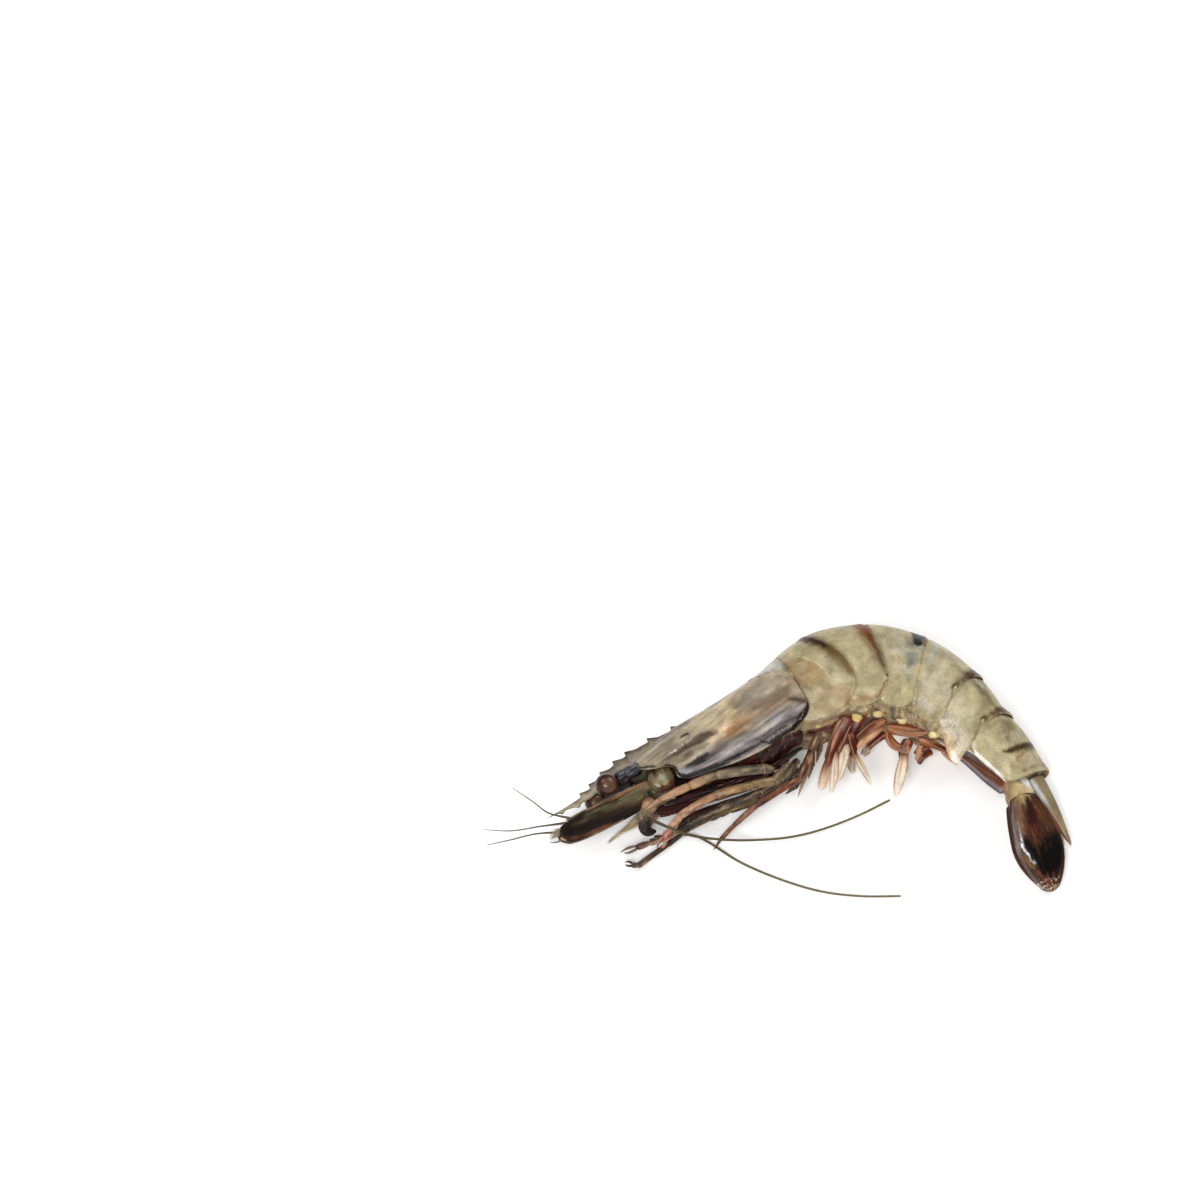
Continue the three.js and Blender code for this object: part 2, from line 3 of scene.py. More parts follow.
import bpy
import numpy as np
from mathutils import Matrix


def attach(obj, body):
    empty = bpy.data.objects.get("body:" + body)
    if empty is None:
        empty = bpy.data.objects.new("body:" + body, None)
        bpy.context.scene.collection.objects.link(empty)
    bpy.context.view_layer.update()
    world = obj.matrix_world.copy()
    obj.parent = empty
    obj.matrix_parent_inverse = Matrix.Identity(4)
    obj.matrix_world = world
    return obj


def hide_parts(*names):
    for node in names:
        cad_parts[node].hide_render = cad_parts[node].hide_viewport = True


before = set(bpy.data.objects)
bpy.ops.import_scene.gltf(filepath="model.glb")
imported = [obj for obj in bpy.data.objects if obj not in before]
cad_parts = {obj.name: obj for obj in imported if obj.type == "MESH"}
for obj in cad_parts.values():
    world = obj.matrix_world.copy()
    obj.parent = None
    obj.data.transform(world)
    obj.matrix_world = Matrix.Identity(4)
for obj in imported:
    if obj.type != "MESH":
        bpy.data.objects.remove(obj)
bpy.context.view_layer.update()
MM = 0.001


# ---- table, light and camera ----
# A plain white table top, a broad lamp over the prawn's back, weaker ones round it, and a
# camera that looks down from the belly side.
TABLE = {"size": 4.0, "drop": 0.0001, "colour": (0.96, 0.96, 0.96, 1), "glow": 0.22,
         "rough": 0.9, "shine": 0.1}
LAMPS = [
    # place, width, depth, power, colour
    ((-0.35, -0.75, 0.95), 0.7, 0.5, 10.5, (1, 0.99, 0.97)),
    ((0.55, 0.65, 0.90), 0.8, 0.6, 6.8, (0.98, 0.99, 1)),
    ((-0.70, 0.35, 0.90), 0.5, 0.5, 3.2, (1, 1, 1)),
    ((-0.20, -0.25, 1.00), 0.07, 0.07, 0.55, (1, 1, 1)),
]
LAMP_AIM = (-0.03, 0.02, 0)
SKY = {"colour": (1, 1, 1, 1), "strength": 0.24}
CAMERA = {"place": (-0.0505, -0.34527, 0.75580), "tilt": 28, "lens": 85, "sensor": 36}


def deselect():
    if bpy.context.mode != "OBJECT":
        bpy.ops.object.mode_set(mode="OBJECT")
    bpy.ops.object.select_all(action="DESELECT")


def add_node(tree, kind, sockets=None, **settings):
    """A shader node; each socket is given a value or another node's output."""
    made = tree.nodes.new("ShaderNode" + kind)
    for key, value in settings.items():
        setattr(made, key, value)
    for key, value in (sockets or {}).items():
        if isinstance(value, bpy.types.NodeSocket):
            tree.links.new(value, made.inputs[key])
        else:
            made.inputs[key].default_value = value
    return made


def empty_material(name):
    material = bpy.data.materials.new(name)
    material.use_nodes = True
    material.node_tree.nodes.clear()
    return material, material.node_tree


deselect()
bpy.ops.mesh.primitive_plane_add(size=TABLE["size"], location=(0, 0, -TABLE["drop"]))
table = bpy.context.object
table.name = "table_top"
matt, tree = empty_material("white_table")
surface = add_node(tree, "BsdfPrincipled", {
    "Base Color": TABLE["colour"], "Roughness": TABLE["rough"],
    "Specular IOR Level": TABLE["shine"],
    "Emission Color": TABLE["colour"], "Emission Strength": TABLE["glow"]})
add_node(tree, "OutputMaterial", {"Surface": surface.outputs[0]})
table.data.materials.append(matt)

for place, width, depth, power, colour in LAMPS:
    bpy.ops.object.light_add(type="AREA", location=place)
    lamp = bpy.context.object
    lamp.data.shape = "RECTANGLE"
    lamp.data.size, lamp.data.size_y = width, depth
    lamp.data.energy, lamp.data.color = power, colour
    aim = np.subtract(LAMP_AIM, place)
    flat = math.hypot(aim[0], aim[1])
    lamp.rotation_euler = (math.atan2(flat, -aim[2]), 0, math.atan2(-aim[0], aim[1]))

sky = bpy.data.worlds.new("soft_box")
sky.use_nodes = True
sky.node_tree.nodes["Background"].inputs["Color"].default_value = SKY["colour"]
sky.node_tree.nodes["Background"].inputs["Strength"].default_value = SKY["strength"]
bpy.context.scene.world = sky
bpy.context.scene.view_settings.view_transform = "Standard"

bpy.ops.object.camera_add(location=CAMERA["place"],
                          rotation=(math.radians(CAMERA["tilt"]), 0, 0))
camera = bpy.context.object
camera.data.lens, camera.data.sensor_width = CAMERA["lens"], CAMERA["sensor"]
bpy.context.scene.camera = camera


# ---- flesh of the abdomen ----
# The tail muscle fills the six ring shells. It shows as a silvery skin behind the carapace and
# as a red-brown belly skin between the side plates, ribbed where each pair of legs hangs.
EYE_NOTCH = (-38.2, -8)  # where the body line starts
BODY_LENGTHS = [53, 13.5, 11.5, 10, 11.5, 13, 19.5]  # arcs of the body line, head to tail
HEADINGS = [29, 28, 18, 6, -11, -36, -57, -65]  # its direction at the ends of the arcs
SECTIONS = np.array([  # place, back, depth, half width
    (-4, 5, 5, 6), (0, 7, 5.5, 7.5), (14, 9.8, 9, 10), (30, 10.4, 12, 12), (44, 12.2, 11.5, 13),
    (60, 17.1, 12.4, 12.8), (66.5, 17.7, 12.7, 12.6), (78, 16.1, 14.4, 12.4),
    (88, 12.8, 15.4, 12), (99.5, 9.4, 16, 11), (112.5, 7.5, 14.4, 9.5), (122, 9, 9.8, 8.2),
    (132, 9.5, 5.2, 6.4)], float)
BACK, DEPTH, HALF = (SECTIONS[:, [0, k]] for k in (1, 2, 3))
REST_FLAT = 0.5  # how deep the lower flank is pressed flat
WIDEST, PLATE_EDGE = 65.4545, 114.5455  # angles from the middle of the back
EDGE_HALF = 0.76  # half width at the plates' edge, as a share of the widest
SIDE_FALL, SIDE_CURVE, BELLY_CURVE = 0.83, 2.7, 3  # how full the sides and the belly are
DEGREE = 0.26  # length of one degree of a section's outline
LOWEST = 0.02  # no point of a piece lies lower
LATTICE = 61  # cells before the clouds repeat
DAMP = 0.3  # wetness of a piece that has no wet zones


def ease(knots, place):
    """A smooth curve through knots of (place, value)."""
    x, y = np.asarray(knots, float).T
    place = np.clip(np.asarray(place, float), x[0], x[-1])
    last = len(x) - 1
    i = np.clip(np.searchsorted(x, place, side="right") - 1, 0, last - 1)
    k = np.arange(last + 1)
    low, high = np.maximum(k - 1, 0), np.minimum(k + 1, last)
    slope = (y[high] - y[low]) / (x[high] - x[low])
    span = x[i + 1] - x[i]
    t = (place - x[i]) / span
    u = 1 - t
    return (y[i] * (1 + 2 * t) * u * u + span * slope[i] * t * u * u
            + y[i + 1] * t * t * (3 - 2 * t) - span * slope[i + 1] * t * t * u)


def smooth(low, high, value):
    """From 0 at low to 1 at high, level at both ends."""
    t = np.clip((np.asarray(value, float) - low) / (high - low), 0, 1)
    return t * t * (3 - 2 * t)


def ridge(value, middle, half):
    """A soft bump of height 1 around the middle."""
    return np.exp(-((np.asarray(value, float) - middle) / half) ** 2)


def body_line(s):
    """The body's middle line, a chain of arcs: x, y and heading at each place along it."""
    s = np.asarray(s, float)
    first = math.radians(HEADINGS[0])
    before = np.minimum(s, 0)
    x = EYE_NOTCH[0] + math.cos(first) * before
    y = EYE_NOTCH[1] + math.sin(first) * before
    heading, left = np.full(s.shape, first), np.maximum(s, 0)
    for length, start, end in zip(BODY_LENGTHS, HEADINGS, HEADINGS[1:]):
        curve = math.radians(end - start) / length
        run = np.clip(left, 0, length)
        to = heading + curve * run
        x = x + (np.sin(to) - np.sin(heading)) / curve
        y = y - (np.cos(to) - np.cos(heading)) / curve
        heading, left = to, left - run
    return x + np.cos(heading) * left, y + np.sin(heading) * left, heading


def at(s, back, height):
    """The point this far toward the back from the body line, this high over the table."""
    x, y, heading = body_line(s)
    return np.stack([x - np.sin(heading) * back, y + np.cos(heading) * back,
                     np.broadcast_to(np.asarray(height, float), np.shape(x))], -1)


def on_body(s, angle, lift, belly=0.73):
    """The point of the body's surface at an angle from the middle of the back."""
    s, angle = np.asarray(s, float), np.asarray(angle, float)
    turn, side = np.abs(angle), np.where(angle < 0, -1, 1)
    arc = np.radians(np.minimum(turn, WIDEST) / WIDEST * 90)
    down = np.clip((turn - WIDEST) / (PLATE_EDGE - WIDEST), 0, 1) ** SIDE_FALL
    out = np.clip((180 - turn) / (180 - PLATE_EDGE), 0, 1)
    wide = np.where(turn <= WIDEST, np.sin(arc), np.where(
        turn <= PLATE_EDGE, 1 - (1 - EDGE_HALF) * down ** SIDE_CURVE, EDGE_HALF * out))
    tall = np.where(turn <= WIDEST, np.cos(arc), np.where(
        turn <= PLATE_EDGE, -down, -(belly + (1 - belly) * out ** BELLY_CURVE)))
    across = side * wide * ease(HALF, s)
    up = tall * np.where(tall > 0, ease(BACK, s), ease(DEPTH, s))
    grow = 1 + lift / (np.hypot(across, up) + 1e-6)
    point = at(s, up * grow, ease(HALF, np.maximum(s, 0)) - REST_FLAT + across * grow)
    point[..., 2] = np.maximum(point[..., 2], LOWEST)
    return point


def ink(shade):
    """A web colour as linear light; pigment that is mixed already stays as it is."""
    if not isinstance(shade, str):
        return shade
    value = np.array([int(shade[i:i + 2], 16) for i in (1, 3, 5)]) / 255
    return np.where(value < 0.04045, value / 12.92, ((value + 0.055) / 1.055) ** 2.4)


def wash(colour, *coats):
    """Coats of pigment over a colour; a coat is (ink, how much of it lies on each point)."""
    colour = ink(colour)
    for shade, mask in coats:
        colour = colour + (ink(shade) - colour) * np.clip(mask, 0, 1)[..., None]
    return colour


def clouds(x, y, seed, octaves=3):
    """Smooth uneven values from -0.5 to 0.5, in patches about one unit across."""
    total, size = 0.0, 1.0
    x, y = np.asarray(x, float), np.asarray(y, float)
    for octave in range(octaves):
        lattice = np.random.default_rng(1000 * seed + octave).random((LATTICE, LATTICE))
        i, j = np.floor(x).astype(int), np.floor(y).astype(int)
        fx, fy = smooth(0, 1, x - i), smooth(0, 1, y - j)
        i, next_i, j, next_j = (cell % LATTICE for cell in (i, i + 1, j, j + 1))
        low = lattice[i, j] * (1 - fx) + lattice[next_i, j] * fx
        high = lattice[i, next_j] * (1 - fx) + lattice[next_i, next_j] * fx
        total = total + size * (low * (1 - fy) + high * fy - 0.5)
        x, y, size = x * 2.03 + 7.1, y * 2.03 + 3.7, size * 0.5
    return total


def streak(s, side, soft, path):
    """How much of a brush stroke lies on each point; its path has (place, side, half width)."""
    path = np.asarray(path, float)
    if len(path) == 1:
        path = np.vstack([path, path + [1e-3, 0, 0]])
    best = np.full(np.shape(s), 1e9)
    for (s0, a0, r0), (s1, a1, r1) in zip(path, path[1:]):
        ds, da = s1 - s0, a1 - a0
        t = np.clip(((s - s0) * ds + (side - a0) * da) / (ds * ds + da * da), 0, 1)
        gap = np.hypot(s - s0 - t * ds, side - a0 - t * da) - (r0 + (r1 - r0) * t)
        best = np.minimum(best, gap)
    return smooth(soft / 2, -soft / 2, best)


def brush(base, x, y, strokes, ragged, seed, grain=(0.9, 0.9)):
    """Pigment laid in strokes; a stroke has an ink, strength, softness and a path."""
    gx, gy = x * grain[0], y * grain[1]
    frayed_x = x + ragged * clouds(gx, gy, seed, 4)
    frayed_y = y + ragged * clouds(gx + 31, gy, seed + 1, 4)
    ground = np.broadcast_to(ink(base), (*np.shape(x), 3))
    return wash(ground, *((shade, strength * streak(frayed_x, frayed_y, soft, path))
                          for shade, strength, soft, path in strokes))


def unrolled(path):
    """A path of (place, angle, half width), its angles made lengths across the shell."""
    return [(place, turn * DEGREE, half) for place, turn, half in path]


def paint(base, s, angle, strokes, ragged, seed):
    """Strokes on the body, their paths in (place, angle, half width)."""
    laid = [(shade, strength, soft, unrolled(path)) for shade, strength, soft, path in strokes]
    return brush(base, s, np.abs(angle) * DEGREE, laid, ragged, seed)


def clouded(colour, x, y, seed, shades, spread=(-0.05, 0.5), where=1.0):
    """Cloudy pigment; the shades are (ink, strength) of its pale and its murky parts."""
    for way, (shade, strength) in zip((1, -1), shades):
        cloud = smooth(*spread, way * clouds(x, y, seed + way, 4))
        colour = wash(colour, (shade, strength * cloud * where))
    return colour


def set_pigment(mesh, colour, wet=DAMP):
    """Each point carries its colour, with its wetness in place of the alpha."""
    layer = mesh.color_attributes.new("Pigment", "FLOAT_COLOR", "POINT")
    wet = np.broadcast_to(wet, len(colour))[:, None]
    rgba = np.concatenate([colour, wet], 1)
    layer.data.foreach_set("color", np.clip(rgba, 0, 1).astype(np.float32).ravel())


def corners(mesh):
    points = np.empty(len(mesh.vertices) * 3)
    mesh.vertices.foreach_get("co", points)
    return points.reshape(-1, 3)


def laid_sheet(name, columns, rows, lay, tint, closed=False, flip=False, wet=None):
    """A grid whose cells are laid in space: lay(u, v) gives points and tint(u, v) pigment."""
    deselect()
    bpy.ops.mesh.primitive_grid_add(x_subdivisions=columns, y_subdivisions=rows, size=2)
    piece = bpy.context.object
    piece.name = piece.data.name = name
    mesh = piece.data
    u, v, _ = corners(mesh).T / 2 + 0.5
    mesh.vertices.foreach_set("co", (lay(u, v) * MM).ravel())
    set_pigment(mesh, tint(u, v), wet(u, v) if wet else DAMP)
    bpy.ops.object.mode_set(mode="EDIT")
    bpy.ops.mesh.select_all(action="SELECT")
    if closed:
        bpy.ops.mesh.remove_doubles(threshold=2e-6)
        bpy.ops.mesh.normals_make_consistent(inside=False)
    elif flip:
        bpy.ops.mesh.flip_normals()
    bpy.ops.object.mode_set(mode="OBJECT")
    bpy.ops.object.shade_smooth()
    return piece


def thicken(piece, wall):
    bpy.context.view_layer.objects.active = piece
    bpy.ops.object.modifier_add(type="SOLIDIFY")
    solid = piece.modifiers[-1]
    solid.thickness, solid.offset, solid.use_even_offset = wall * MM, -1, False
    bpy.ops.object.modifier_apply(modifier=solid.name)


def group_tree(name, inputs, outputs):
    tree = bpy.data.node_groups.new(name, "ShaderNodeTree")
    for kind, sockets in (("INPUT", inputs), ("OUTPUT", outputs)):
        for socket, form, value in sockets:
            made = tree.interface.new_socket(socket, in_out=kind, socket_type="NodeSocket" + form)
            if value is not None:
                made.default_value = value
    return tree, tree.nodes.new("NodeGroupInput").outputs, tree.nodes.new("NodeGroupOutput")


GRAIN = {  # patches to a metre
    "broad": 230, "fine": 1500, "cells": 2100, "cell size": 420, "froth_glint": 2600, "gloss": 700,
    "ripples": 350, "pores": 2600, "beads": 1300,
}
FOAM_GLINT = (0.92, 0.9, 0.86, 1)


def skin_grain_group():
    """Cloudy pigment, tiny colour cells, white specks in wet zones that are partly froth and partly
    painted glints, and the fine grain of wet shell.
    """
    tree, given, result = group_tree("Skin grain", [
        ("Pigment", "Color", (0.5, 0.5, 0.5, 1)), ("Mottle", "Float", 0.3),
        ("Cells", "Float", 0.3), ("Cell colour", "Color", (0.1, 0.05, 0.03, 1)),
        ("Roughness", "Float", 0.3), ("Wet", "Float", DAMP), ("Coat", "Float", 0.8)], [
        ("Colour", "Color", None), ("Roughness", "Float", None), ("Height", "Float", None),
        ("Coat", "Float", None)])
    place = add_node(tree, "TexCoord").outputs["Object"]

    def noise(kind, detail, rough=0.55):
        return add_node(tree, "TexNoise", {
            "Vector": place, "Scale": GRAIN[kind], "Detail": detail,
            "Roughness": rough}).outputs[0]

    def maths(kind, *values):
        return add_node(tree, "Math", dict(enumerate(values)), operation=kind).outputs[0]

    def mapped(value, low, high, to_low=0.0, to_high=1.0):
        return add_node(tree, "MapRange", {
            "Value": value, "From Min": low, "From Max": high, "To Min": to_low,
            "To Max": to_high}).outputs[0]

    uneven = maths("ADD", maths("MULTIPLY", noise("broad", 5), 0.65),
                   maths("MULTIPLY", noise("fine", 4), 0.35))
    swing = maths("MULTIPLY", maths("SUBTRACT", uneven, 0.5), given["Mottle"])
    level = maths("ADD", 0.86, maths("MULTIPLY", swing, 3.6))
    shaded = add_node(tree, "Mix", {0: 1.0, 6: given["Pigment"], 7: level}, data_type="RGBA",
                      blend_type="MULTIPLY")
    cell = add_node(tree, "TexVoronoi", {
        "Vector": place, "Scale": GRAIN["cells"], "Randomness": 1.0})
    spread = maths("MULTIPLY", noise("cell size", 2), 0.5)
    near = mapped(cell.outputs["Distance"], 0.05, spread, 1.0, 0.0)
    # White specks where the skin is wet: partly froth, partly painted glints of wet shell.
    froth_glint = mapped(noise("froth_glint", 2, 0.6), 0.56, 0.66)
    froth_glint = maths("MULTIPLY", froth_glint, maths("MAXIMUM", 0.0, maths("SUBTRACT", given["Wet"], 0.4)))
    dotted = add_node(tree, "Mix", {
        0: maths("MULTIPLY", near, given["Cells"]), 6: shaded.outputs[2],
        7: given["Cell colour"]}, data_type="RGBA")
    glint_specked = add_node(tree, "Mix", {
        0: maths("MULTIPLY", froth_glint, 1.6), 6: dotted.outputs[2], 7: FOAM_GLINT}, data_type="RGBA")
    patchy = maths("MULTIPLY", maths("SUBTRACT", noise("gloss", 3), 0.5), 0.35)
    dry = maths("MULTIPLY", maths("SUBTRACT", 0.5, given["Wet"]), 0.35)
    ripples = maths("ADD", maths("MULTIPLY", noise("ripples", 3), 0.8),
                    maths("MULTIPLY", noise("pores", 3), 0.2))
    beads = add_node(tree, "TexVoronoi", {
        "Vector": place, "Scale": GRAIN["beads"], "Randomness": 1.0}, feature="SMOOTH_F1")
    beaded = maths("MULTIPLY", maths("MULTIPLY", beads.outputs["Distance"], given["Wet"]), 1.1)
    film = mapped(given["Wet"], 0.15, 0.9)
    for socket, value in (
            ("Colour", glint_specked.outputs[2]),
            ("Roughness", maths("ADD", maths("ADD", given["Roughness"], patchy), dry)),
            ("Height", maths("SUBTRACT", ripples, beaded)),
            ("Coat", maths("MULTIPLY", film, given["Coat"]))):
        tree.links.new(value, result.inputs[socket])
    return tree


SKIN_GRAIN = skin_grain_group()


def skin(name, mottle=0.3, cells=0.3, cell_colour="#3a2015", rough=0.35, relief=0.12,
         soft=0.15, depth=1.2, coat=0.8, coat_rough=0.1, shine=0.2):
    """Wet shell or skin whose pigment is carried by the piece itself."""
    material, tree = empty_material(name)
    carried = add_node(tree, "VertexColor", layer_name="Pigment").outputs
    grain = add_node(tree, "Group", {
        "Pigment": carried["Color"], "Wet": carried["Alpha"], "Mottle": mottle, "Cells": cells,
        "Cell colour": (*ink(cell_colour), 1), "Roughness": rough, "Coat": coat},
        node_tree=SKIN_GRAIN).outputs
    bump = add_node(tree, "Bump", {
        "Height": grain["Height"], "Strength": 1.0, "Distance": relief * MM})
    surface = add_node(tree, "BsdfPrincipled", {
        "Base Color": grain["Colour"], "Roughness": grain["Roughness"],
        "Normal": bump.outputs[0], "Coat Weight": grain["Coat"],
        "Coat Roughness": coat_rough, "Specular IOR Level": shine,
        "Subsurface Weight": soft, "Subsurface Radius": (1.0, 0.55, 0.35),
        "Subsurface Scale": depth * MM})
    add_node(tree, "OutputMaterial", {"Surface": surface.outputs[0]})
    return material


def settle(piece, material, slot, *nodes):
    """The finished piece gets its material, rides on the prawn and stands for its nodes."""
    piece.data.materials.clear()
    piece.data.materials.append(material)
    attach(piece, "root")
    if nodes:
        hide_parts(*nodes)


FLESH_SPAN = (38, 133.5)
FLESH_INSET = -0.9  # the flesh lies this far inside the shells
DRAWN_IN = 3.9  # how far the skin is pulled up behind the fourth ring
DRY = 0.25  # wetness away from the wet zones
FLESH_CLOUD = [("#d6c8a8", 0.55), ("#5f4a34", 0.6)]
BELLY = [(38, 0.85), (52, 0.98), (60, 1.02), (76, 1.08), (90, 1.12), (106, 1.08), (116, 0.9),
         (124, 0.82), (133.5, 0.8)]
HINGE_PLACES = [47.5, 61.5, 73, 87.5, 106.5, 120]  # seams of the belly skin
FLESH_PAINT = [
    # ink, strength, softness, path of (place, angle, half width)
    ("#a9a498", 1.0, 2.0, [(41, 0, 6), (46, 22, 5), (50, 46, 1.5)]),
    ("#c9c8c4", 0.8, 2.0, [(43, 20, 1.6), (47.5, 30, 1.4), (49, 44, 0.5)]),
    ("#a3855c", 0.9, 4.0, [(50, 138, 2.5), (64, 140, 3.0), (84, 142, 2.5), (112, 144, 4)]),
    ("#5e1f15", 0.95, 3.0, [(52, 176, 4), (64, 170, 5), (74, 178, 3)]),
    ("#7a4424", 0.9, 2.4, [(80, 170, 3), (94, 166, 3.4), (106, 160, 3.4)]),
    ("#5a2c1c", 0.8, 1.4, [(60, 146, 0.8), (64, 152, 1.2), (69, 150, 0.8)]),
    ("#6b4a30", 0.7, 1.6, [(57, 124, 0.3), (60, 140, 0.6), (62, 160, 1)]),
    ("#6b4a30", 0.7, 1.6, [(70, 124, 0.3), (71, 140, 0.6), (72, 160, 1)]),
    ("#584036", 0.8, 1.6, [(82, 124, 0.3), (82, 140, 0.6), (82, 160, 1)]),
    ("#5b5654", 0.9, 1.4, [(63.5, 120, 0.8), (66, 150, 1.2)]),
    ("#4f4a4c", 0.9, 1.4, [(78.5, 120, 0.8), (79.5, 150, 1.2)]),
    ("#4a2c16", 0.9, 1.2, [(71, 118, 0.6), (73, 134, 0.8)]),
    ("#5f2a1c", 0.9, 1.6, [(56, 130, 0.8), (60, 150, 1.6)]),
    # The two pale thin lines across the belly seams are painted glints of wet skin.
    ("#e9dcc2", 0.9, 0.4, [(89.6, 112, 0.15), (90.4, 128, 0.2), (91.6, 150, 0.2)]),
    ("#e9dcc2", 0.9, 0.4, [(68.4, 112, 0.15), (67.6, 130, 0.2)]),
]
UNDER_STRIPS = [
    ("#9c6b50", 1.0, 2.0, [(116, 146, 7), (124, 150, 8), (132, 150, 8)]),
    # The near-white band is a painted wet highlight along the lower edge of the sixth ring.
    ("#f6f3ee", 1.0, 1.2, [(117, 116, 1.0), (122, 118, 1.4), (130, 118, 1.8)]),
    ("#c9906c", 0.7, 0.8, [(118, 150, 0.4), (130, 154, 0.5)]),
    ("#7a4630", 0.7, 0.8, [(118, 166, 0.6), (130, 168, 0.6)]),
    ("#9a452a", 0.9, 1.4, [(128.5, 140, 2.0), (132, 140, 3.0)]),
]
FLESH_WET = [
    # strength, softness, path of (place, angle, half width)
    (0.9, 1.2, [(50, 118, 0.8), (60, 120, 0.8)]), (0.8, 1.4, [(66, 130, 0.6), (74, 122, 0.8)]),
    (0.9, 1.4, [(84, 124, 0.8), (90, 140, 1.2)]), (0.8, 1.4, [(96, 130, 1.0), (104, 134, 1.0)]),
]


def along(span, u):
    """Places from the front to the back end of a stretch of the body."""
    return span[0] + (span[1] - span[0]) * u


def wetness(s, angle, zones):
    """How wet each point is: dry, with soft-edged wet zones."""
    side = np.abs(angle) * DEGREE
    frayed = s + clouds(s, side, 15, 3)
    wet = np.full(np.shape(s), DRY)
    for strength, soft, path in zones:
        wet = np.maximum(wet, strength * streak(frayed, side, soft, unrolled(path)))
    return wet


def far_side(colour, s, angle, start):
    """The far side's plates, streaked brown and grey, seen below the sixth ring."""
    far = smooth(-95, -105, angle) * smooth(start, start + 6, s)
    grey = smooth(-0.2, 0.3, clouds(s / 7, angle / 2.5, 33, 3) + 0.02 * (-angle - 120))
    shade = wash("#9a6c52", ("#857b82", grey))
    shade = shade * (1 + 0.9 * clouds(s / 4, angle / 1.6, 35, 3)[:, None])
    return wash(colour, (shade, far))


def raised(point, s, rise):
    """The points moved toward the back."""
    heading = body_line(s)[2]
    point[..., 0] -= np.sin(heading) * rise
    point[..., 1] += np.cos(heading) * rise
    return point


def drawn_in(s, angle):
    """How far the belly and far side plates are pulled up behind the fourth ring."""
    far = np.where(angle > 0, smooth(130, 180, angle), smooth(-50, -110, angle))
    return DRAWN_IN * far * smooth(99, 108, s) * smooth(135, 122, s)


def flesh_lay(u, v):
    s, angle = along(FLESH_SPAN, u), 360 * v - 180
    skin_rise = 0.7 * smooth(41, 43, s) * smooth(53, 50.5, s) * smooth(62, 52, np.abs(angle))
    seam_gap = np.min([np.abs(s - hinge) for hinge in HINGE_PLACES], axis=0)
    ribs = 0.9 * smooth(0, 5, seam_gap) * smooth(112, 130, np.abs(angle))
    folds = 0.5 * clouds(s / 1.6, angle * DEGREE / 2.2, 4, 3) * smooth(112, 124, np.abs(angle))
    point = on_body(s, angle, FLESH_INSET + skin_rise + ribs + folds, ease(BELLY, s))
    point = raised(point, s, drawn_in(s, angle))
    close = np.minimum(smooth(0, 0.02, u), smooth(1, 0.98, u))[:, None]
    middle = at(s, 0, ease(HALF, s))
    return middle + (point - middle) * close


def flesh_tint(u, v):
    s, angle = along(FLESH_SPAN, u), 360 * v - 180
    colour = paint("#b09a70", s, angle, FLESH_PAINT, 1.4, 3)
    colour = clouded(colour, s / 2.0, angle / 12, 7, FLESH_CLOUD, (0.05, 0.35),
                     smooth(170, 150, angle))
    colour = paint(colour, s, angle, UNDER_STRIPS, 0.4, 9)
    return far_side(colour, s, angle, 108)


def flesh_wet(u, v):
    return wetness(along(FLESH_SPAN, u), 360 * v - 180, FLESH_WET)


flesh = laid_sheet("abdomen_flesh", 190, 120, flesh_lay, flesh_tint, closed=True,
                   wet=flesh_wet)
FLESH_SKIN = skin("belly_skin", mottle=0.5, cells=0.3, rough=0.3, relief=0.2, soft=0.3)
settle(flesh, FLESH_SKIN, "banded_shell")


# ---- ring shells of the abdomen ----
# Six overlapping rings of thin shell, hinged at the sides. Each rear rim lies over the next
# ring, the side plates end in rounded lobes, and a dark band of pigment runs along each rim.
SEAM_ANGLES = [0, 28, 56, 84, PLATE_EDGE]
SEAMS = [
    # places of each seam at those angles, from the front
    [51.6, 51, 49.6, 47, 46],
    [59.5, 61.3, 65.2, 66.7, 61.5],
    [74, 74.8, 76.2, 77.4, 73],
    [88.5, 88.3, 88, 88, 87.5],
    [103.3, 103.3, 101.7, 102.5, 106.5],
    [115.1, 115.1, 114.3, 115.5, 121.3],
    [132.5, 132.5, 132.5, 132.3, 131],
]
RING_WALL = 0.3
RING = {"tuck": 1.6, "overlap": 0.7, "sunk": -0.55, "first sunk": -0.9, "level": -0.2}
FIRST, FIFTH = 0, 4  # the rings that differ from the rest
UNDER_CARAPACE = (45, 60)  # angles where the first ring's front rim goes under the carapace
LOBE = {"rise": 14.0, "sharp": 3.0, "fifth": 3.0}
RIM_LIP = [0.05, 0.0, 0.1, 0.45, 0.65, 0.3]  # rear rims stand off the back
FIFTH_PLATE = {"drop": 6.3, "from": 109.5, "to": 121.5}  # its lower corner is a point
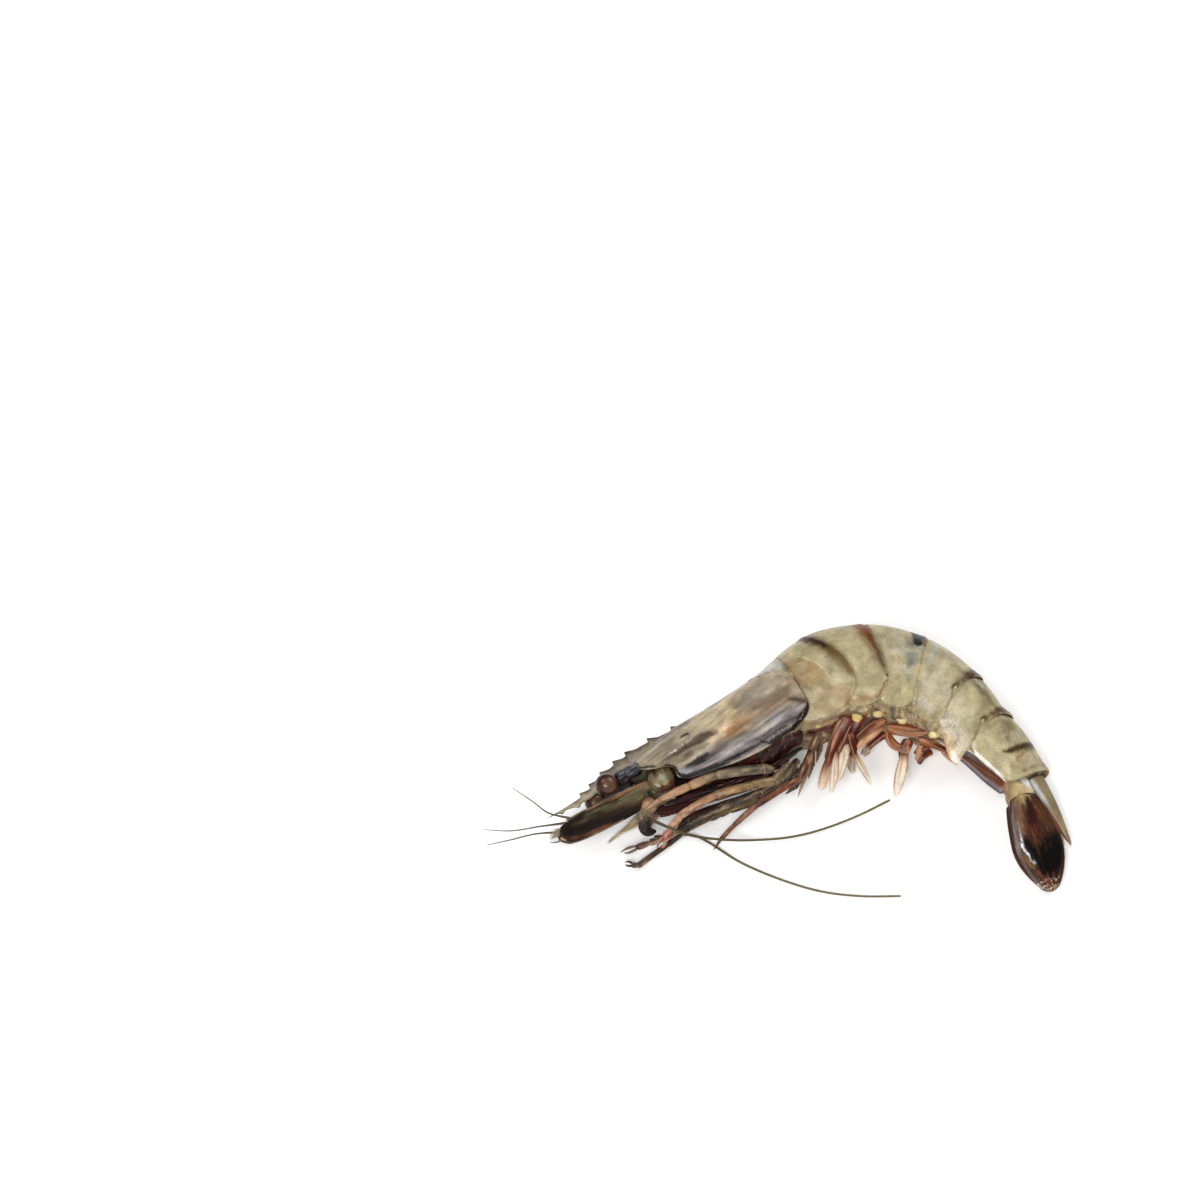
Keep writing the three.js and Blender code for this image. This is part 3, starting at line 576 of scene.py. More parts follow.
RING_PAINT = [
    # first ring
    ("#bdae85", 0.8, 3.0, [(53, 34, 2.5), (57, 38, 2)]),
    ("#b69d79", 0.8, 3.0, [(52, 98, 3), (62, 98, 3)]),
    ("#a38a62", 0.95, 1.4, [(51.6, 42, 0.9), (53.6, 53, 2.8), (55.2, 65, 3.9)]),
    ("#b08e62", 0.6, 2.0, [(54, 52, 0.8), (56.5, 62, 1.2)]),
    ("#7f5f39", 0.7, 0.8, [(51.2, 42, 0.5), (51, 66, 0.6)]),
    ("#c2a687", 0.75, 2.4, [(54.6, 80, 1.4), (58.6, 88, 1.6)]),
    ("#b08a6a", 0.6, 1.4, [(57, 80, 0.6), (60, 86, 0.5)]),
    ("#dccda6", 0.6, 0.4, [(51.3, 33, 0.1), (54, 39, 0.12), (56.8, 48.5, 0.14),
                             (59.2, 59, 0.18), (60.2, 70, 0.18), (60, 80, 0.15)]),
    ("#6d5231", 0.8, 0.6, [(51.8, 0, 0.35), (51, 30, 0.4), (50.4, 58, 0.35)]),
    # second and third rings
    ("#b4a380", 0.7, 3.0, [(66, 86, 2.2), (74, 88, 2.2)]),
    ("#a38257", 0.85, 2.0, [(63, 106, 1.2), (72, 105, 1.2)]),
    ("#aea68c", 0.7, 3.0, [(80, 50, 3), (83, 50, 3)]),
    ("#6f7670", 0.85, 2.8, [(86.2, 44, 1.2), (85.3, 56, 2.4), (85.5, 68, 1.4), (85, 84, 0.5)]),
    # fourth to sixth rings
    ("#b4b6ad", 0.8, 0.9, [(91, 0, 0.7), (91, 22, 0.7), (91.2, 64, 0.7)]),
    ("#a59675", 0.7, 3.0, [(95, 50, 2), (99, 54, 2)]),
    ("#cfc4aa", 0.8, 3.0, [(92, 82, 2.6), (99, 82, 2.6)]),
    # Pale patch on the fourth ring's lower flank: painted sheen of wet shell.
    ("#d8ccb4", 0.8, 2.0, [(92, 101, 1.4), (99, 102, 1.4)]),
    ("#7c6943", 0.9, 3.0, [(104.5, 30, 2.0), (106, 46, 2.2), (110, 50, 2.6), (111, 60, 1.6)]),
    ("#c9be9f", 0.8, 3.0, [(104, 82, 2.2), (112, 82, 2.2)]),
    # Pale patch on the fifth ring's lower flank: painted sheen of wet shell.
    ("#ded0ba", 0.9, 2.4, [(106, 99, 2.2), (110, 102, 2.4), (117, 104, 2.0)]),
    ("#8a7868", 0.5, 1.2, [(109, 104, 0.7), (112, 97, 0.5), (115, 103, 0.6)]),
    ("#84734e", 0.85, 3.0, [(117, 40, 2.4), (122, 56, 2.6)]),
    ("#c9bd9b", 0.8, 3.0, [(118, 84, 2.2), (128, 84, 2.2)]),
    ("#b19c7d", 0.8, 1.5, [(128.5, 40, 1), (129, 66, 1)]),
    ("#b07a58", 0.7, 2.0, [(129.4, 14, 1.2), (130.4, 36, 1.0)]),
    ("#6b4426", 0.9, 1.2, [(131.4, 0, 0.6), (131.6, 60, 0.5)]),
    ("#c48f52", 0.85, 0.5, [(106, 108, 0.2), (110, 112, 0.3), (115, 113.6, 0.35),
                            (120, 113.8, 0.5)]),
    ("#e0b070", 0.8, 1.0, [(114, 107, 0.5), (118, 109, 0.7)]),
    # Pale thin line at the third seam: a painted glint.
    ("#ddc4a4", 0.8, 0.35, [(88.6, 92, 0.15), (88.8, 106, 0.2)]),
    ("#c9a070", 0.7, 0.5, [(90, 111, 0.3), (96, 113.5, 0.3), (103, 112, 0.3)]),
    # Near-white band on the sixth ring's lower margin: a painted wet highlight.
    ("#f2ebdf", 0.9, 0.9, [(116, 110, 0.5), (122, 110, 0.7), (130, 109, 0.6)]),
    ("#8a5b40", 0.7, 0.7, [(126.5, 40, 0.2), (128, 62, 0.5)]),
]
BAND_PAINT = [
    ("#75603a", 0.85, 2.6, [(60.0, 10, 1.3), (61.0, 30, 1.7), (62.4, 42, 1.9), (64.4, 54, 1.9),
                            (66.0, 66, 1.5), (67.2, 78, 0.6)]),
    ("#84603a", 0.8, 2.4, [(74.0, 0, 1.8), (74.0, 34, 1.7), (74.8, 50, 1.6), (76.0, 64, 1.3),
                           (77.0, 76, 0.6)]),
    ("#6a5034", 0.8, 2.2, [(101.7, 10, 1.2), (101.8, 40, 1.2), (101.6, 54, 1.0), (101, 66, 0.6)]),
    ("#6a5034", 0.8, 2.2, [(113.9, 10, 1.2), (114.0, 40, 1.2), (114.0, 60, 1.0),
                           (114, 68, 0.5)]),
    ("#6e5a40", 0.7, 2.2, [(125.8, 10, 1.0), (125.8, 56, 1.0), (125, 70, 0.4)]),
    ("#4a2f10", 0.95, 1.4, [(60, 0, 1.2), (59.6, 15, 1.3), (60.8, 30, 1.4), (62.4, 40, 1.2),
                            (64.2, 50, 0.7)]),
    ("#1c0f06", 0.9, 0.8, [(59.2, 10, 0.4), (60.0, 26, 0.4), (63.2, 46, 0.5)]),
    ("#664c22", 0.85, 1.8, [(64, 50, 0.9), (65.7, 58, 0.9), (67.0, 72, 0.5)]),
    ("#7b745a", 0.7, 2.0, [(76.0, 48, 1.2), (76.6, 62, 1.2), (77.2, 76, 0.8)]),
    ("#7d4318", 1.0, 1.2, [(74.8, 0, 1.8), (74.2, 20, 1.7), (74.6, 33, 1.5), (75.2, 46, 0.7)]),
    ("#3d1c08", 0.7, 0.8, [(73.2, 0, 0.4), (73.0, 20, 0.4)]),
    ("#8a4416", 0.8, 1.2, [(75.0, 30, 0.7), (75.2, 36, 0.5)]),
    ("#5e3a17", 0.9, 0.8, [(75.2, 10, 0.5), (75.2, 30, 0.6), (75.4, 50, 0.7), (76.3, 60, 0.5),
                           (77, 72, 0.4)]),
    ("#2e1f0c", 0.95, 0.5, [(77.7, 81, 0.5)]),
    ("#7d5c35", 0.75, 0.6, [(77.4, 86, 0.25), (75.2, 98, 0.4), (73, 106, 0.4)]),
    ("#120c0a", 1.0, 1.0, [(87.0, 0, 1.5), (87.0, 36, 1.5), (87.0, 46, 1.1)]),
    ("#5d3517", 0.9, 0.7, [(88.7, 0, 0.5), (88.6, 45, 0.5)]),
    ("#41270f", 1.0, 1.2, [(102.0, 0, 1.1), (102.0, 30, 1.1), (102.0, 44, 1.0), (101.6, 53, 0.5)]),
    ("#59381f", 0.9, 0.8, [(102, 50, 0.6), (101.6, 62, 0.5)]),
    ("#3e2c14", 0.9, 0.8, [(101, 71, 0.9)]),
    ("#7c4a3c", 0.6, 0.5, [(101.2, 75, 0.2), (102.5, 80, 0.25), (103.2, 92, 0.25)]),
    ("#553511", 1.0, 1.2, [(113.8, 0, 1.1), (113.8, 30, 0.9), (113.9, 46, 0.95), (113.8, 62, 0.5)]),
    ("#3e2c14", 0.9, 0.8, [(113.9, 71, 0.9)]),
    ("#7c4a3c", 0.6, 0.5, [(114.6, 76, 0.2), (116, 86, 0.25), (117.5, 93, 0.25)]),
    ("#e0cf98", 1.0, 0.4, [(101.4, 72, 0.35)]),
    ("#e0cf98", 1.0, 0.4, [(114.2, 72.5, 0.35)]),
    ("#463118", 1.0, 1.1, [(125.4, 0, 0.8), (125.3, 40, 0.85), (125, 64, 0.75),
                           (124.5, 73, 0.25)]),
]
MILK = [("#d6ccae", 0.5), ("#87805c", 0.45)]  # pale and murky clouds
RING_WET = [
    # strength, softness, path of (place, angle, half width)
    (0.8, 2.5, [(91, 98, 1.2), (96, 102, 1.0)]),
    (0.85, 2.5, [(105, 97, 1.6), (110, 101, 2.2), (118, 104, 1.8)]),
    (0.9, 1.2, [(88.6, 88, 0.5), (88.8, 108, 0.6)]),
    (0.9, 1.5, [(102.5, 88, 0.5), (106, 112, 0.6)]),
    (0.6, 2.5, [(54, 80, 1.4), (60, 92, 1.4)]), (0.5, 2.5, [(62, 106, 1.0), (84, 106, 1.0)]),
    (0.9, 1.5, [(116, 109, 0.8), (131, 108, 0.8)]),
]
CARAPACE_BACK = [(0, 41), (20, 41.6), (28, 43), (40, 47), (50, 49.8), (70, 50.3), (90, 50.3),
                 (98, 49.6), (106, 47.5), (PLATE_EDGE, 43)]  # its rear rim, over the first ring


def ring_rim(i, angle):
    return ease(list(zip(SEAM_ANGLES, SEAMS[i])), np.abs(angle))


def ring_place(i, u, v):
    rise = np.where((i == FIFTH) & (u > 0.5) & (v > 0.5), LOBE["fifth"], LOBE["rise"])
    angle = (PLATE_EDGE - rise * np.abs(2 * u - 1) ** LOBE["sharp"]) * (2 * v - 1)
    # the first ring's front rim lies bare behind the carapace
    tuck = RING["tuck"] * (smooth(*UNDER_CARAPACE, np.abs(angle)) if i == FIRST else 1)
    rims = ring_rim(i, angle) - tuck, ring_rim(i + 1, angle) + RING["overlap"]
    return along(rims, u), angle


def ring_lift(i, s, u, angle):
    into, left = s - ring_rim(i, angle), ring_rim(i + 1, angle) + RING["overlap"] - s
    sunk = 1 - smooth(-0.9, 1.6, into)
    depth = RING["sunk"]
    if i == FIRST:
        under = ease(CARAPACE_BACK, np.abs(angle)) - s
        sunk = smooth(-1.2, 0.1, under) * smooth(*UNDER_CARAPACE, np.abs(angle))
        depth = RING["first sunk"]
    lift = RING["level"] + (depth - RING["level"]) * sunk
    lift = lift - RING["level"] * smooth(3.5, 0.4, left)
    lift = lift + RIM_LIP[i] * smooth(4.5, 0.5, left) * smooth(75, 50, np.abs(angle))
    lift = lift - 0.06 * ridge(left, 1.7, 0.6)
    lift = lift - 0.2 * smooth(0.6, 0, left)
    lift = lift + 0.1 * clouds(s / 3.2, angle * DEGREE / 3.2, 20 + i, 3)
    return lift


def ring_shell(i):
    def lay(u, v):
        s, angle = ring_place(i, u, v)
        point = raised(on_body(s, angle, ring_lift(i, s, u, angle)), s, drawn_in(s, angle))
        if i == FIFTH:
            drop = FIFTH_PLATE["drop"] * smooth(FIFTH_PLATE["from"], FIFTH_PLATE["to"], s)
            point = raised(point, s, -drop * smooth(86, PLATE_EDGE, angle))
        return point

    def tint(u, v):
        s, angle = ring_place(i, u, v)
        colour = paint("#b6a881", s, angle, RING_PAINT, 0.7, 5)
        colour = clouded(colour, s / 3.4, np.abs(angle) * DEGREE / 2.8, 25, MILK)
        colour = paint(colour, s, angle, BAND_PAINT, 0.5, 6)
        return far_side(colour, s, angle, 110)

    def wet(u, v):
        return wetness(*ring_place(i, u, v), RING_WET)

    shell = laid_sheet(f"ring_shell_{i + 1}", 80, 200, lay, tint, flip=True, wet=wet)
    thicken(shell, RING_WALL)
    return shell


RING_SKIN = skin("banded_shell", mottle=0.46, cells=0.3, cell_colour="#5d4a33", rough=0.32,
                 relief=0.2, soft=0.15, depth=0.6, coat=0.9)
for i in range(len(SEAMS) - 1):
    settle(ring_shell(i), RING_SKIN, "banded_shell", f"abdomen_segment_{i + 1}")


# ---- flesh of the head and thorax ----
# The soft body inside the carapace, seen in front round the eyes and mouth; its dark pigment is
# partly its own colour and partly painted shade of the hollow under the rostrum. It is muscle
# under a thin skin, and the carapace lies over it as a saddle.
HEAD_SPAN = (2, 44)
# Dark browns on the front and underside: partly the flesh's own colour, partly painted shade of the
# recess.
HEAD_PAINT = [
    ("#3a2f22", 1.0, 3.0, [(2, 0, 8), (4, 60, 10)]),
    ("#2a1712", 1.0, 3.0, [(4, 120, 14), (4, 170, 14)]),
    ("#4a2c1d", 0.8, 2.0, [(8, 84, 2), (12, 100, 3)]),
]


def head_lay(u, v):
    s, angle = along(HEAD_SPAN, u), 360 * v - 180
    sunk = 4.5 * smooth(14, 7, s) * smooth(40, 60, np.abs(angle))
    point = on_body(s, angle, -1.3 - sunk, 0.5)
    close = np.minimum(np.sqrt(smooth(-0.02, 0.1, u)) * smooth(0, 0.01, u), smooth(1, 0.98, u))
    middle = at(s, 0, ease(HALF, np.maximum(s, 0)) - REST_FLAT)
    return middle + (point - middle) * close[:, None]


def head_tint(u, v):
    return paint("#7d6a52", along(HEAD_SPAN, u), 360 * v - 180, HEAD_PAINT, 1.0, 8)


head = laid_sheet("head_flesh", 90, 90, head_lay, head_tint, closed=True)
settle(head, skin("dark_skin", mottle=0.6, rough=0.3, relief=0.3, soft=0.1), "dark_underside")


# ---- carapace ----
# One thin saddle of shell over the head and thorax, open below, with a toothed keel in front.
# Grooves and low ridges are moulded in it, and its free rims are slightly thickened.
CARAPACE_WALL = 0.35
CARAPACE_FRONT = [(0, -3), (28, -1.2), (44, -0.4), (54, 0.5), (61, 1.6), (67, 3.4), (74, 6.2),
                  (84, 8.2), (104, 8.2), (PLATE_EDGE, 11)]
CARAPACE_RELIEF = [
    # height, softness, path of (place, angle, half width)
    (0.7, 1.2, [(-3, 0, 0.5), (22, 0, 0.5), (34, 0, 0.2)]),
    (-0.45, 1.2, [(-2, 8, 0.2), (20, 8, 0.2)]),
    (0.35, 1.4, [(0, 47, 0.2), (7, 44, 0.3), (13, 43, 0.1)]),
    (0.45, 1.0, [(3, 62, 0.2), (9, 61, 0.3), (12.5, 61.5, 0.1)]),
    (0.3, 0.7, [(11.2, 62, 0.25)]),
    (-0.5, 0.9, [(14.3, 50, 0.2), (16.4, 50.5, 0.3)]),
    (-0.4, 1.6, [(14, 64, 0.2), (16, 56, 0.3), (19, 44, 0.2), (24, 32, 0.1)]),
    (-0.45, 1.3, [(8, 67, 0.1), (16, 66.5, 0.4), (23, 69.5, 0.2)]),
    (-0.3, 2.6, [(22, 70, 0.4), (34, 66, 0.6), (48, 62, 0.4)]),
    (0.35, 5.0, [(14, 98, 1), (30, 96, 2), (44, 94, 1.5)]),
    (-0.25, 1.2, [(11, 88, 0.2), (20, 82, 0.3), (30, 85, 0.1)]),
    (-0.2, 0.7, [(32.4, 99, 0.02), (33.4, 105, 0.1), (35, 113, 0.1)]),
    (-0.2, 0.8, [(10, 109, 0.1), (21, 109, 0.2), (33, 105.5, 0.1)]),
]
CARAPACE_PAINT = [
    ("#857966", 0.85, 5.0, [(0, 42, 2.5), (10, 50, 3)]),
    ("#a99c86", 0.8, 1.6, [(-2, 32, 0.8), (8, 36, 1.0), (15, 38, 0.6)]),
    ("#574c36", 0.95, 2.2, [(7, 71, 1.6), (13, 76, 2.0)]),
    ("#5a4738", 0.95, 2.0, [(3, 22, 1.0), (12, 25, 2.0), (20, 29, 1.4)]),
    ("#4b3a2c", 0.7, 1.4, [(8, 20, 0.5), (18, 23, 0.6)]),
    ("#6f6a49", 0.7, 1.8, [(6, 50, 0.6), (13, 56, 0.8)]),
    ("#cbbd9a", 0.85, 3.5, [(18, 44, 1.4), (25, 50, 2.2)]),
    ("#dbc299", 0.85, 2.5, [(29.5, 38, 1.4), (29, 62, 1.8)]),
    ("#d3ba98", 0.85, 3.0, [(20, 34, 1.2), (35, 32, 1.4), (44, 36, 1)]),
    ("#9a8e7c", 0.9, 5.0, [(35, 48, 3.0), (43, 54, 3.2)]),
    ("#7f7b74", 0.7, 3.0, [(34, 56, 1.2), (40, 60, 1.4)]),
    ("#b09a80", 0.6, 3.0, [(36, 34, 1.0), (46, 46, 1.0)]),
    ("#8c6f5b", 0.85, 3.0, [(36, 71, 1.5), (46, 72, 1.7)]),
    ("#a5723a", 0.8, 3.4, [(25, 79, 1.3), (29, 75, 2.1), (33.5, 72, 0.8)]),
    ("#8a8180", 1.0, 2.0, [(10, 101, 2.4), (20, 100, 3.0), (30, 98.5, 3.4), (40, 97, 4.0),
                           (46.5, 94, 2.4)]),
    # Paler streak in the middle of the grey lower shield: painted sheen.
    ("#a39d9b", 0.6, 3.0, [(22, 97, 1.0), (40, 91, 1.8)]),
    ("#6d6463", 0.7, 2.4, [(22, 105, 0.8), (32, 104, 1.2), (44, 104, 1.2)]),
    ("#858d94", 0.8, 2.2, [(9.6, 96, 1.0), (11, 103, 1.2)]),
    ("#e6c7a4", 0.95, 1.4, [(20.5, 76, 0.8), (23.5, 72, 1.2), (27.5, 67, 0.8)]),
    ("#cdb895", 0.75, 2.4, [(22.4, 65, 1.0), (24.6, 65.5, 1.0)]),
    ("#cfba98", 0.75, 2.4, [(30, 42, 1.2), (33.6, 42, 1.2)]),
    ("#6e5a40", 0.6, 1.4, [(22.2, 82.6, 0.7), (24.2, 82.2, 0.7)]),
    ("#6e6250", 0.7, 2.0, [(14, 74, 1.0), (17, 73, 1.0)]),
    ("#a69c86", 0.6, 2.4, [(26, 88, 1.0), (36, 89, 1.6)]),
    ("#bf9f80", 0.6, 1.8, [(46.6, 58, 0.8), (49.2, 62, 0.9)]),
]
CARAPACE_MARKS = [
    ("#47301b", 0.95, 1.4, [(8, 65, 0.4), (14, 65.5, 0.9), (19.4, 66, 1.3), (23.4, 69, 0.4)]),
    ("#4b4343", 0.8, 2.6, [(16, 92, 1.0), (24, 86, 0.8), (30, 84, 0.5)]),
    # Dark patch under the hepatic ridge: painted shade of its groove.
    ("#150e0d", 0.95, 1.6, [(12.4, 94, 1.3), (15.2, 92.4, 1.7), (18, 89, 0.8)]),
    # Pale line along the hepatic ridge: a painted highlight.
    ("#b3aca0", 0.8, 0.5, [(11.6, 88, 0.2), (16, 83.4, 0.35), (20, 80.5, 0.2)]),
    ("#231c0c", 0.95, 0.6, [(14.4, 50, 0.4), (16.3, 50.5, 0.5)]),
    ("#3a190b", 0.9, 2.0, [(46.2, 77, 0.5), (48.4, 83, 1.0), (50.0, 90, 0.7)]),
    ("#200603", 1.0, 0.9, [(50.6, 92, 0.9), (49.4, 99, 1.5), (46.4, 107, 1.6), (43, 113, 1.0)]),
    ("#c09a74", 0.7, 0.3, [(48.2, 97, 0.12), (46.0, 105, 0.12)]),
    ("#4a4042", 0.5, 0.9, [(22, 106, 0.2), (31, 104.5, 0.3), (41, 105, 0.4)]),
    ("#4a4142", 0.5, 0.5, [(30, 99, 0.1), (38, 98, 0.2), (44, 96, 0.15)]),
    ("#050303", 1.0, 1.2, [(9, 111.5, 1.3), (20, 110.8, 1.1), (28, 107, 0.5), (34, 105.6, 0.1)]),
    ("#0a0606", 0.9, 0.4, [(32.4, 100, 0.1), (33.2, 105, 0.25), (35, 113, 0.4)]),
    ("#0a0505", 0.95, 0.8, [(36, 113.0, 0.9), (44, 112.4, 0.9)]),
    ("#26100a", 1.0, 0.6, [(6.8, 71, 0.35), (8.3, 82, 0.45), (8.5, 98, 0.5), (10.4, 112, 0.8)]),
    ("#171010", 0.95, 0.8, [(-1.5, 30, 0.35), (-0.5, 44, 0.5), (1.4, 55, 0.5), (4, 64, 0.45)]),
    ("#33251a", 0.9, 0.9, [(-3, 0, 1.0), (22, 0, 0.9), (36, 0, 0.4)]),
    ("#5a4936", 0.6, 0.6, [(4, 15, 0.25), (12, 18, 0.3), (20, 17, 0.2)]),
    ("#4a3c2c", 0.6, 0.5, [(2, 58, 0.15), (8, 58, 0.2), (12, 59, 0.15)]),
    # Pale specks on the ridges: painted highlights.
    ("#e8dcc4", 0.8, 0.35, [(11.0, 62, 0.3)]),
    ("#e8dcc4", 0.8, 0.3, [(2.3, 66, 0.25)]),
    ("#c3a77f", 0.7, 0.6, [(21, 56, 0.2), (27, 58, 0.35), (31, 64, 0.2)]),
]
SHELL_CLOUD = [("#c4b497", 0.4), ("#5f543f", 0.45)]
CARAPACE_WET = [
    (0.9, 1.5, [(9, 62, 0.6), (16, 61, 0.6)]), (0.7, 1.2, [(8.4, 74, 0.2), (8.6, 88, 0.2)]),
    (0.6, 2.0, [(-1, 40, 0.5), (3, 60, 0.5)]), (0.7, 2.0, [(36, 108, 0.8), (47, 104, 0.8)]),
]


def carapace_rims(angle):
    return ease(CARAPACE_FRONT, np.abs(angle)), ease(CARAPACE_BACK, np.abs(angle))


def carapace_place(u, v):
    angle = PLATE_EDGE * (2 * v - 1)
    return along(carapace_rims(angle), u), angle


def carapace_lay(u, v):
    s, angle = carapace_place(u, v)
    side = np.abs(angle) * DEGREE
    front, back = carapace_rims(angle)
    rim = np.minimum(np.minimum(back - s, s - front), (PLATE_EDGE - np.abs(angle)) * DEGREE)
    lift = -0.12 + 0.12 * smooth(0.9, 0.35, rim) - 0.15 * ridge(rim, 1.3, 0.4)
    lift = lift + 0.12 * clouds(s / 4, side / 4, 30, 3)
    for height, soft, path in CARAPACE_RELIEF:
        lift = lift + height * streak(s, side, soft, unrolled(path))
    return on_body(s, angle, lift, 0.5)


def carapace_tint(u, v):
    s, angle = carapace_place(u, v)
    side = np.abs(angle) * DEGREE
    shell_part = smooth(88, 82, np.abs(angle))
    colour = paint("#a0917a", s, angle, CARAPACE_PAINT, 1.0, 11)
    colour = clouded(colour, s / 4.6, side / 2.2, 28, SHELL_CLOUD, where=shell_part)
    colour = paint(colour, s, angle, CARAPACE_MARKS, 0.45, 12)
    brushed = clouds(s / 6, side / 0.9 + 0.12 * s, 29, 3) * (1.1 - 0.7 * shell_part)
    return colour * (1 + brushed)[:, None]


def carapace_wet(u, v):
    return wetness(*carapace_place(u, v), CARAPACE_WET)


carapace = laid_sheet("carapace_shell", 210, 190, carapace_lay, carapace_tint, flip=True,
                      wet=carapace_wet)
thicken(carapace, CARAPACE_WALL)
CARAPACE_SKIN = skin("brown_shell", mottle=0.3, cells=0.3, cell_colour="#3b2a1f", rough=0.3,
                     relief=0.18, soft=0.1, depth=0.6, coat=0.9)


# ---- rostrum ----
# The saw-edged blade that runs out from the keel of the carapace past the eyes. It grows as
# one piece with the carapace, thick at its middle rib and thin at both edges.
ROSTRUM_SPAN = (-29.2, 24)
CREST = [(-29.2, 4.4), (-17, 5.6), (-8, 8.8), (2, 10.8), (15.5, 10.3), (24, 9.6)]
TEETH = [-17.2, -13.5, -9, -4, 0.5, 8, 15.5]
TOOTH = {"height": 1.35, "length": 3.4}
KEEL = [(-29.2, 4.3), (-25.5, 4), (-24.4, 3.3), (-23.3, 3.9), (-20.5, 3.5), (-19.2, 2.8),
        (-18.2, 3.6), (-15, 3.8), (-10, 4.9), (-5, 5.6), (2, 5.5), (24, 7.5)]
ROSTRUM_THICK = [(-29.2, 0.5), (-12, 1.6), (2, 2.2), (24, 1.8)]


def rostrum_lay(u, v):
    s = along(ROSTRUM_SPAN, u)
    top = ease(CREST, s)
    for tooth in TEETH:
        behind = s - tooth
        saw = np.clip(1 - behind / TOOTH["length"], 0, 1) ** 1.25 * smooth(-0.25, 0.05, behind)
        top = top + TOOTH["height"] * saw
    low = ease(KEEL, s)
    turn = 2 * np.pi * v
    across, tall = np.cos(turn), np.sin(turn)
    thin = np.abs(across) ** 1.3 * np.sign(across)
    thin = thin + 0.25 * np.sign(across) * ridge(tall, -0.25, 0.16)
    close = np.sqrt(smooth(-0.004, 0.03, u)) * smooth(0, 0.004, u)
    middle, half = (top + low) / 2, (top - low) / 2
    wide = ease(ROSTRUM_THICK, s) / 2
    height = ease(HALF, np.maximum(s, 0)) - REST_FLAT
    return at(s, middle + half * tall * close, height + wide * thin * close)


def rostrum_tint(u, v):
    s, tall = along(ROSTRUM_SPAN, u), np.sin(2 * np.pi * v)
    shade = tall + 0.35 * clouds(s / 1.5, tall * 3, 41)
    return wash(
        "#8d8272", ("#a9a088", smooth(-10, -22, s)),
        ("#bbae92", 0.8 * ridge(tall, -0.4, 0.45)),
        ("#675848", 0.75 * smooth(0.05, 0.6, shade) * smooth(-28, -14, s)),
        ("#231813", 0.9 * smooth(0.55, 0.95, shade) * smooth(-27, -18, s)),
        ("#4d4033", 0.6 * smooth(-0.8, -0.97, tall)),
        ("#6b5b48", 0.5 * ridge(tall, 0.05, 0.12) * smooth(-26, -16, s)),
        ("#7c6f58", 0.5 * smooth(0.1, 0.4, clouds(s / 3, tall * 2, 42))))


rostrum = laid_sheet("rostrum", 420, 28, rostrum_lay, rostrum_tint, closed=True)


def joined(name, *pieces):
    deselect()
    for piece in pieces:
        piece.select_set(True)
    bpy.context.view_layer.objects.active = pieces[0]
    bpy.ops.object.join()
    pieces[0].name = pieces[0].data.name = name
    return pieces[0]


settle(joined("carapace_shell", carapace, rostrum), CARAPACE_SKIN, "brown_shell", "carapace")


# ---- underside of the thorax ----
# The narrow keel of dark red flesh and gill tips between the leg bases, under the open arch of
# the carapace. Near black inner branches lie along it, dark partly in their own colour and
# partly as painted shade between the legs.
THORAX_SPAN = (10, 47.5)
THORAX = {"under": 1.1, "arch": 0.5}  # shares of the body's depth
THORAX_WIDTH = [(10, 0.3), (18, 0.38), (30, 0.52), (47.5, 0.6)]
GILL_SHREDS = {"count": 26, "seed": 7}
SHADED_INNER_BRANCHES = [
    # route, width and inks of the inner branches that lie between the legs, near black partly as
    # painted shade
    ([(36, -13.8, 8), (19.0, -11.2, 7), (10.3, -10.6, 7), (-1.6, -9.0, 7)], 3.8,
     "#34110f", "#1d0b0b"),
    ([(36, -15, 7), (22, -13.4, 6.5), (12.4, -12.3, 6.5), (-0.5, -10.6, 6.5)], 2.0,
     "#571c1a", "#26100f"),
    ([(38, -14.4, 10), (26, -12.6, 9), (14, -10.6, 8.5), (2, -8.8, 8)], 2.2,
     "#241012", "#4a1716"),
]


def thorax_lay(u, v):
    s, turn = along(THORAX_SPAN, u), 2 * np.pi * v
    depth, half = ease(DEPTH, s), ease(HALF, s)
    wide = ease(THORAX_WIDTH, s) * half
    top, low = -depth * THORAX["arch"] - 0.6, -depth * THORAX["under"]
    folds = 0.9 * clouds(s / 5, turn * 2.4, 50, 4)
    close = np.sqrt(np.clip(1 - (2 * u - 1) ** 8, 0, 1))
    middle, tall = (top + low) / 2, (top - low) / 2
    return at(s, middle + (tall * np.sin(turn) + folds * np.sin(turn)) * close,
              half - REST_FLAT + (wide + folds) * np.cos(turn) * close)


def thorax_tint(u, v):
    s, turn = along(THORAX_SPAN, u), 2 * np.pi * v
    return wash(
        "#24100f", ("#6a2318", 0.7 * smooth(0.0, 0.4, clouds(s * 0.5, turn * 4, 51, 3))),
        ("#a3795a", 0.5 * smooth(0.25, 0.5, clouds(s * 0.7, turn * 5, 52, 3))))


def route_knots(points):
    steps = np.sqrt(np.linalg.norm(np.diff(points, axis=0), axis=1))
    return np.concatenate([[0], np.cumsum(steps)]) / steps.sum()


def along_route(points, t):
    knots = route_knots(points)
    return np.stack([ease(list(zip(knots, points[:, k])), t) for k in range(3)], -1)


def facing(points, t, step):
    """Directions along a route and level across it."""
    ahead = along_route(points, np.minimum(t + step, 1))
    behind = along_route(points, np.maximum(t - step, 0))
    forward = (ahead - behind) / np.linalg.norm(ahead - behind, axis=1)[:, None]
    side = np.cross(forward, [0.0, 0.0, 1.0])
    return forward, side / np.linalg.norm(side, axis=1)[:, None]


def scaled(profile, size):
    """Widths along a piece, from shares of one size."""
    return [(t, share * size) for t, share in profile]


